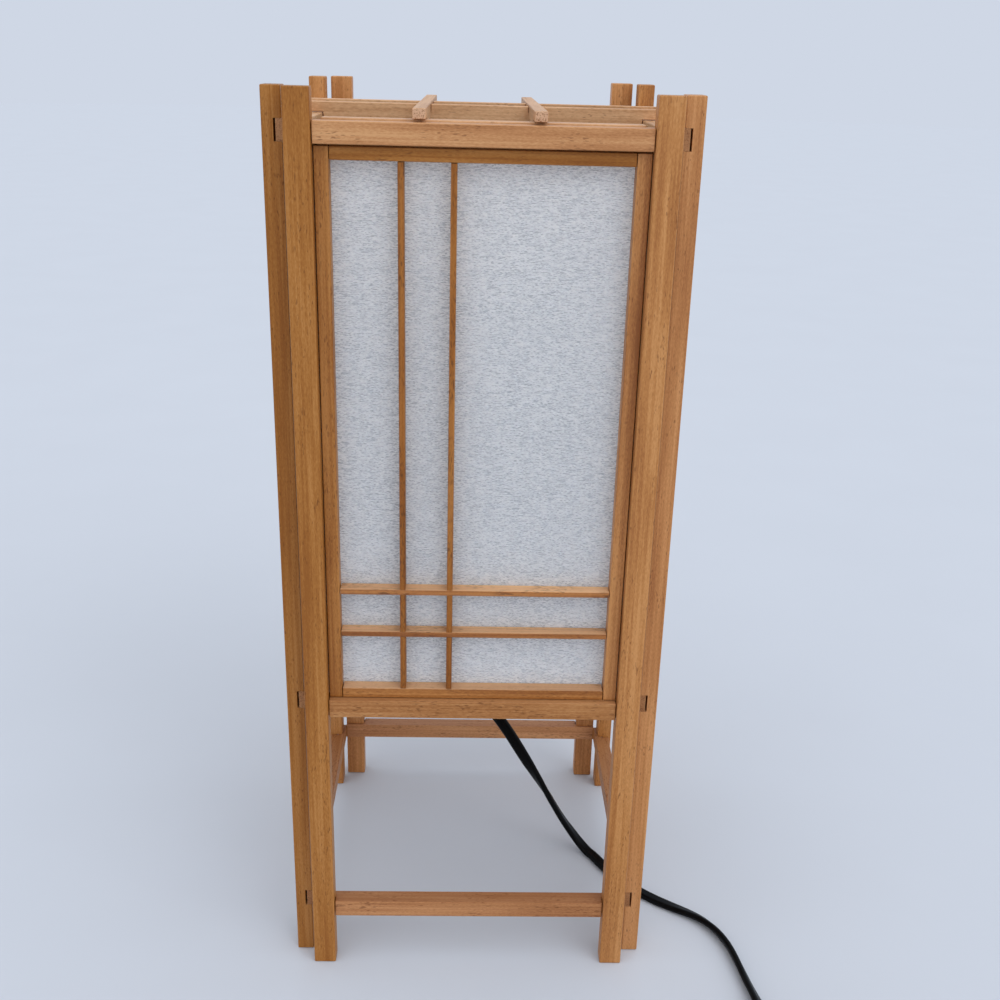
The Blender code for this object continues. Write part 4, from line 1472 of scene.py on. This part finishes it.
@dataclass
class ShojiPanel:
    """Paper panel of one side: stiles, rails, crossed bars and the sheet."""

    side: Side
    edge_round: float = 0.35 * MM
    bead_inset: float = 2.2 * MM
    bar_width: float = 2.6 * MM
    bar_round: float = 0.3 * MM
    first_gap: float = 27.8 * MM
    spacing: float = 21.7 * MM
    sheet_thick: float = 0.25 * MM
    ripple: float = 0.35 * MM
    columns: int = 36
    rows: int = 64

    def build(self, paper: bpy.types.Material) -> None:
        """Build the panel.

        Args:
            paper: Material of the sheet.
        """
        name = "panel_" + self.side.label
        woods = []
        for part, grain in (("stile_left", Grain.ALONG_Z), ("stile_right", Grain.ALONG_Z),
                            ("top_rail", Grain.ALONG_X), ("bottom_rail", Grain.ALONG_X)):
            low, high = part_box("panel_front_" + part)
            node = name + "_" + part
            piece = round_edges(block(node + "_wood", low, high, self.side), self.edge_round)
            PANEL_WOOD.dress(piece, grain.turned(self.side))
            woods.append(settle(piece, Body.LAMP, Slot.PANEL_WOOD, node))
        self.build_bead(name)
        woods += self.build_bars(name)
        self.build_sheet(name, paper)

    def build_bead(self, name: str) -> None:
        """Thin bead behind the panel's top edge that closes the gap under the upper rail."""
        low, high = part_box("panel_front_top_rail")
        post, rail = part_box("post_front_right")[0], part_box("upper_rail_front")[0]
        reach = post.x - AIR
        bead = block(name + "_top_bead", (-reach, low.y + self.bead_inset, high.z - FIT),
                     (reach, high.y - FIT, rail.z - AIR), self.side)
        PANEL_WOOD.dress(bead, Grain.ALONG_X.turned(self.side))
        settle(bead, Body.LAMP, Slot.PANEL_WOOD)

    def build_bars(self, name: str) -> list[bpy.types.Object]:
        """Crossed bars, the level ones running through.

        Args:
            name: Name of the panel.

        Returns:
            The upright and the level bars.
        """
        low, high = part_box("panel_front_kumiko")
        y = (low.y + high.y) / 2
        depth = high.y - low.y
        first_x = low.x - FIT + self.first_gap + self.bar_width / 2
        first_z = low.z - FIT + self.first_gap + self.bar_width / 2
        half = self.bar_width / 2 + AIR
        turn = self.side.turn
        cuts = [(low.z, first_z - half), (first_z + half, first_z + self.spacing - half),
                (first_z + self.spacing + half, high.z)]
        upright_legs = [(turn((first_x, y, a)), turn((first_x, y, b))) for a, b in cuts]
        level_legs = [(turn((low.x, y, first_z)), turn((high.x, y, first_z)))]
        level_grain = Grain.ALONG_X.turned(self.side)
        rows = (("upright", upright_legs, depth - 2 * AIR, turn((1.0, 0.0, 0.0)), Grain.ALONG_Z),
                ("level", level_legs, depth, (0.0, 0.0, 1.0), level_grain))
        pieces = []
        for label, legs, deep, wide, grain in rows:
            step = tuple(self.spacing * way for way in wide)
            bars = BarRows.build(f"{name}_{label}_bars", legs, (self.bar_width, deep, self.bar_round), wide,
                                 BAR_WOOD.material(grain), step, 2)
            BAR_WOOD.dress(bars, grain)
            pieces.append(settle(bars, Body.LAMP, Slot.PANEL_WOOD, name + "_kumiko"))
        return pieces

    def build_sheet(self, name: str, paper: bpy.types.Material) -> None:
        """Sheet of paper, flat on the wood and a little slack between.

        Args:
            name: Name of the panel.
            paper: Its material.
        """
        low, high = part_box("panel_front_paper")
        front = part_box("panel_front_stile_left")[1].y + AIR
        columns, rows = self.columns, self.rows
        draw = random.Random(name)
        waves = [(draw.uniform(1.5, 4.0), draw.uniform(2.0, 6.0), draw.uniform(0.0, 6.3)) for _ in range(4)]

        def depth(u: float, v: float) -> float:
            """How far the sheet stands in from the wood."""
            hold = min(1.0, 9 * min(u, 1 - u)) * min(1.0, 16 * min(v, 1 - v))
            sway = sum(math.sin(a * 6.283 * u + b * 3.1 * v + c) for a, b, c in waves) / 8 + 0.5
            return self.ripple * hold * max(0.0, sway)

        verts = []
        for back in (0.0, self.sheet_thick):
            for j in range(rows + 1):
                for i in range(columns + 1):
                    u, v = i / columns, j / rows
                    spot = (low.x + u * (high.x - low.x), front + back + depth(u, v), low.z + v * (high.z - low.z))
                    verts.append(self.side.turn(spot))
        count = (columns + 1) * (rows + 1)
        faces = []
        for j in range(rows):
            for i in range(columns):
                a = j * (columns + 1) + i
                b = a + columns + 1
                faces.append((a, a + 1, b + 1, b))
                faces.append((count + a, count + b, count + b + 1, count + a + 1))
        rim = list(range(columns + 1))
        rim += [j * (columns + 1) + columns for j in range(1, rows + 1)]
        rim += [rows * (columns + 1) + i for i in range(columns - 1, -1, -1)]
        rim += [j * (columns + 1) for j in range(rows - 1, 0, -1)]
        for a, b in zip(rim, rim[1:] + rim[:1]):
            faces.append((a, b, count + b, count + a))
        sheet = closed_mesh(name + "_sheet", verts, faces)
        coat(sheet, paper, 40)
        stamp(sheet.data, "cut", [draw.uniform(-0.5, 0.5) for _ in range(3)])
        settle(sheet, Body.LAMP, Slot.PAPER, name + "_paper")


@dataclass
class TopGrille:
    """Loose grille: two bars on edge with stepped ends, and two strips halved over them."""

    edge_round: float = 0.4 * MM
    lap_share: float = 0.55
    strip_end: float = 16.2 * MM
    end_cut: float = 2.1 * MM
    slack: float = 0.15 * MM
    hands: tuple[str, ...] = ("left", "right")
    ends: tuple[str, ...] = ("front", "back")

    def build(self) -> None:
        """Build the grille."""
        low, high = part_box("grille_bar_front")
        floor = low.z + self.lap_share * (high.z - low.z)
        self.build_bars(floor)
        self.build_strips(floor + FIT)

    def build_bars(self, floor: float) -> None:
        """Bars on edge, stepped over the side rails and cut from above for the strips.

        Args:
            floor: Height that the cuts go down to.
        """
        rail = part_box("upper_rail_front")[1]
        seat = rail.z + FIT
        shoulder = -rail.y - FIT
        for end in self.ends:
            node = "grille_bar_" + end
            low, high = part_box(node)
            outline = [(-shoulder, low.z), (shoulder, low.z), (shoulder, seat), (high.x, seat), (high.x, high.z)]
            for hand in reversed(self.hands):
                left, right = (corner.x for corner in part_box("grille_strip_" + hand))
                outline += [(right + self.slack, high.z), (right + self.slack, floor)]
                outline += [(left - self.slack, floor), (left - self.slack, high.z)]
            outline += [(low.x, high.z), (low.x, seat), (-shoulder, seat)]
            bar = round_edges(prism(node + "_wood", outline, "y", low.y, high.y), self.edge_round)
            GRILLE_WOOD.dress(bar, Grain.ALONG_X)
            settle(bar, Body.GRILLE, Slot.GRILLE_WOOD, node)

    def build_strips(self, roof: float) -> None:
        """Strips along the depth, cut from below for the bars and thinner over the rails.

        Args:
            roof: Height that the cuts go up to.
        """
        for hand in self.hands:
            node = "grille_strip_" + hand
            low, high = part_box(node)
            raised = low.z + self.end_cut
            outline = [(low.y, raised), (low.y + self.strip_end, raised), (low.y + self.strip_end, low.z)]
            for end in self.ends:
                near, far = (corner.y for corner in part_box("grille_bar_" + end))
                outline += [(near - self.slack, low.z), (near - self.slack, roof)]
                outline += [(far + self.slack, roof), (far + self.slack, low.z)]
            outline += [(high.y - self.strip_end, low.z), (high.y - self.strip_end, raised), (high.y, raised)]
            outline += [(high.y, high.z), (low.y, high.z)]
            strip = round_edges(prism(node + "_wood", outline, "x", low.x, high.x), self.edge_round)
            GRILLE_WOOD.dress(strip, Grain.ALONG_Y)
            settle(strip, Body.GRILLE, Slot.GRILLE_WOOD, node)


@dataclass
class LampFitting:
    """Lamp bar, holder, bulb and the lead's strain relief."""

    stem: float = 5 * MM
    flange: float = 17 * MM
    body: float = 14 * MM
    bore: float = 7.5 * MM
    floor: float = 17 * MM
    cap: float = 6.9 * MM
    glass: float = 22.5 * MM
    flutes: int = 28
    relief: float = 9 * MM

    def build(self) -> None:
        """Build the fitting."""
        coat(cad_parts["lamp_bar"], FRAME_WOOD.material(Grain.ALONG_X))
        self.build_holder()
        self.build_bulb()
        self.build_relief()

    def turned(self, name: str, profile: Sequence[tuple[float, float]], edge: float,
               finish: PlasticFinish | MetalFinish, segments: int = 64) -> bpy.types.Object:
        """Lathe a piece, round its edges and give it a finish."""
        return coat(round_edges(lathe(name, profile, segments), edge, 3, 32.0), finish.material())

    def build_holder(self) -> None:
        """Holder with a stepped flange, a fluted skirt and an open bore."""
        low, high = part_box("holder_body")
        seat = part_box("lamp_bar")[1].z + FIT
        top = high.z
        floor = seat + self.floor
        profile = [(0.0, low.z), (self.stem, low.z), (self.stem, seat), (self.flange, seat),
                   (self.flange, seat + 4 * MM), (self.body + 1.2 * MM, seat + 5.4 * MM), (self.body, seat + 7 * MM),
                   (self.body, seat + 26 * MM), (self.body - 0.7 * MM, seat + 26.6 * MM),
                   (self.body - 0.7 * MM, seat + 27.6 * MM), (self.body, seat + 28.2 * MM), (self.body, top - 1.2 * MM),
                   (self.body - 1.2 * MM, top), (self.bore + 0.6 * MM, top), (self.bore, top - 0.6 * MM),
                   (self.bore, floor), (0.0, floor)]
        holder = self.turned("holder_shell", profile, 0.35 * MM, HOLDER_PLASTIC)
        settle(holder, Body.LAMP, Slot.HOLDER, "holder_body")
        ring = self.body - 0.15 * MM
        turns = [2 * math.pi * i / self.flutes for i in range(self.flutes)]
        legs = [tuple((ring * math.cos(a), ring * math.sin(a), seat + rise * MM) for rise in (9, 24)) for a in turns]
        flutes = BarRows.build("holder_flutes", legs, (1.1 * MM, 1.1 * MM, 0.5 * MM), (1.0, 0.0, 0.0),
                               holder.data.materials[0])
        settle(flutes, Body.LAMP, Slot.HOLDER)

    def build_bulb(self) -> None:
        """Bulb with a threaded metal cap and opal glass."""
        low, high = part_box("bulb_cap")
        tip, neck = low.z, high.z
        core = self.cap - 0.4 * MM
        profile = [(0.0, tip), (0.38 * self.cap, tip), (0.66 * self.cap, tip + 2.5 * MM), (core, tip + 4.5 * MM),
                   (core, neck - 4.0 * MM), (self.cap, neck - 3.4 * MM), (self.cap, neck), (0.0, neck)]
        cap = self.turned("bulb_cap_shell", profile, 0.3 * MM, CAP_METAL, 48)
        settle(cap, Body.BULB, Slot.CAP, "bulb_cap")
        thread = RingRow().grow("bulb_cap_thread", {
            "Start": (0.0, 0.0, tip + 7 * MM), "Step": (0.0, 0.0, 2.6 * MM), "Rings": 6, "Growth": 0.0,
            "Ring Radius": self.cap - 0.5 * MM, "Rib Radius": 0.75 * MM, "Material": cap.data.materials[0]})
        settle(thread, Body.BULB, Slot.CAP)
        bottom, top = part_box("bulb_glass")
        tall = top.z - bottom.z
        keys = ((0.29, 0.0), (0.38, 0.07), (0.58, 0.18), (0.84, 0.33), (0.975, 0.48), (1.0, 0.58), (0.97, 0.68),
                (0.85, 0.81), (0.62, 0.915), (0.32, 0.98))
        route = [(r * self.glass, 0.0, bottom.z + h * tall) for r, h in keys]
        route = [route[0]] + route + [(0.06 * self.glass, 0.0, top.z - 0.0006 * tall)]
        smooth = through(route + [route[-1]], 1.4 * MM)
        rounded = [(float(p[0]), float(min(p[2], top.z))) for p in smooth]
        glass = lathe("bulb_glass_shell", [(0.0, bottom.z)] + rounded + [(0.0, top.z)], 72)
        coat(glass, OpalFinish().material(), 60)
        settle(glass, Body.BULB, Slot.OPAL, "bulb_glass")

    def build_relief(self) -> None:
        """Tapered strain relief with ribs."""
        low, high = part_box("strain_relief")
        end, collar = low.z, high.z
        profile = [(0.0, end), (4.0 * MM, end), (4.3 * MM, end + 0.5 * MM), (6.0 * MM, collar - 7 * MM),
                   (self.relief - 1 * MM, collar - 6 * MM), (self.relief, collar - 5 * MM), (self.relief, collar),
                   (0.0, collar)]
        boot = self.turned("relief_boot", profile, 0.4 * MM, HOLDER_PLASTIC, 48)
        settle(boot, Body.LAMP, Slot.HOLDER, "strain_relief")
        ribs = RingRow().grow("relief_ribs", {
            "Start": (0.0, 0.0, end + 2.2 * MM), "Step": (0.0, 0.0, 2.6 * MM), "Rings": 4, "Growth": 0.085,
            "Ring Radius": 4.45 * MM, "Rib Radius": 0.7 * MM, "Material": boot.data.materials[0]})
        settle(ribs, Body.LAMP, Slot.HOLDER)


def main() -> None:
    """Build the studio, then the lamp piece by piece."""
    logging.basicConfig(level=logging.INFO, format="%(name)s %(message)s")
    Studio().build()
    Lead().build()
    LampFrame().build()
    paper = SHOJI_PAPER.material()
    for side in Side:
        ShojiPanel(side).build(paper)
    TopGrille().build()
    LampFitting().build()


if __name__ == "__main__":
    main()
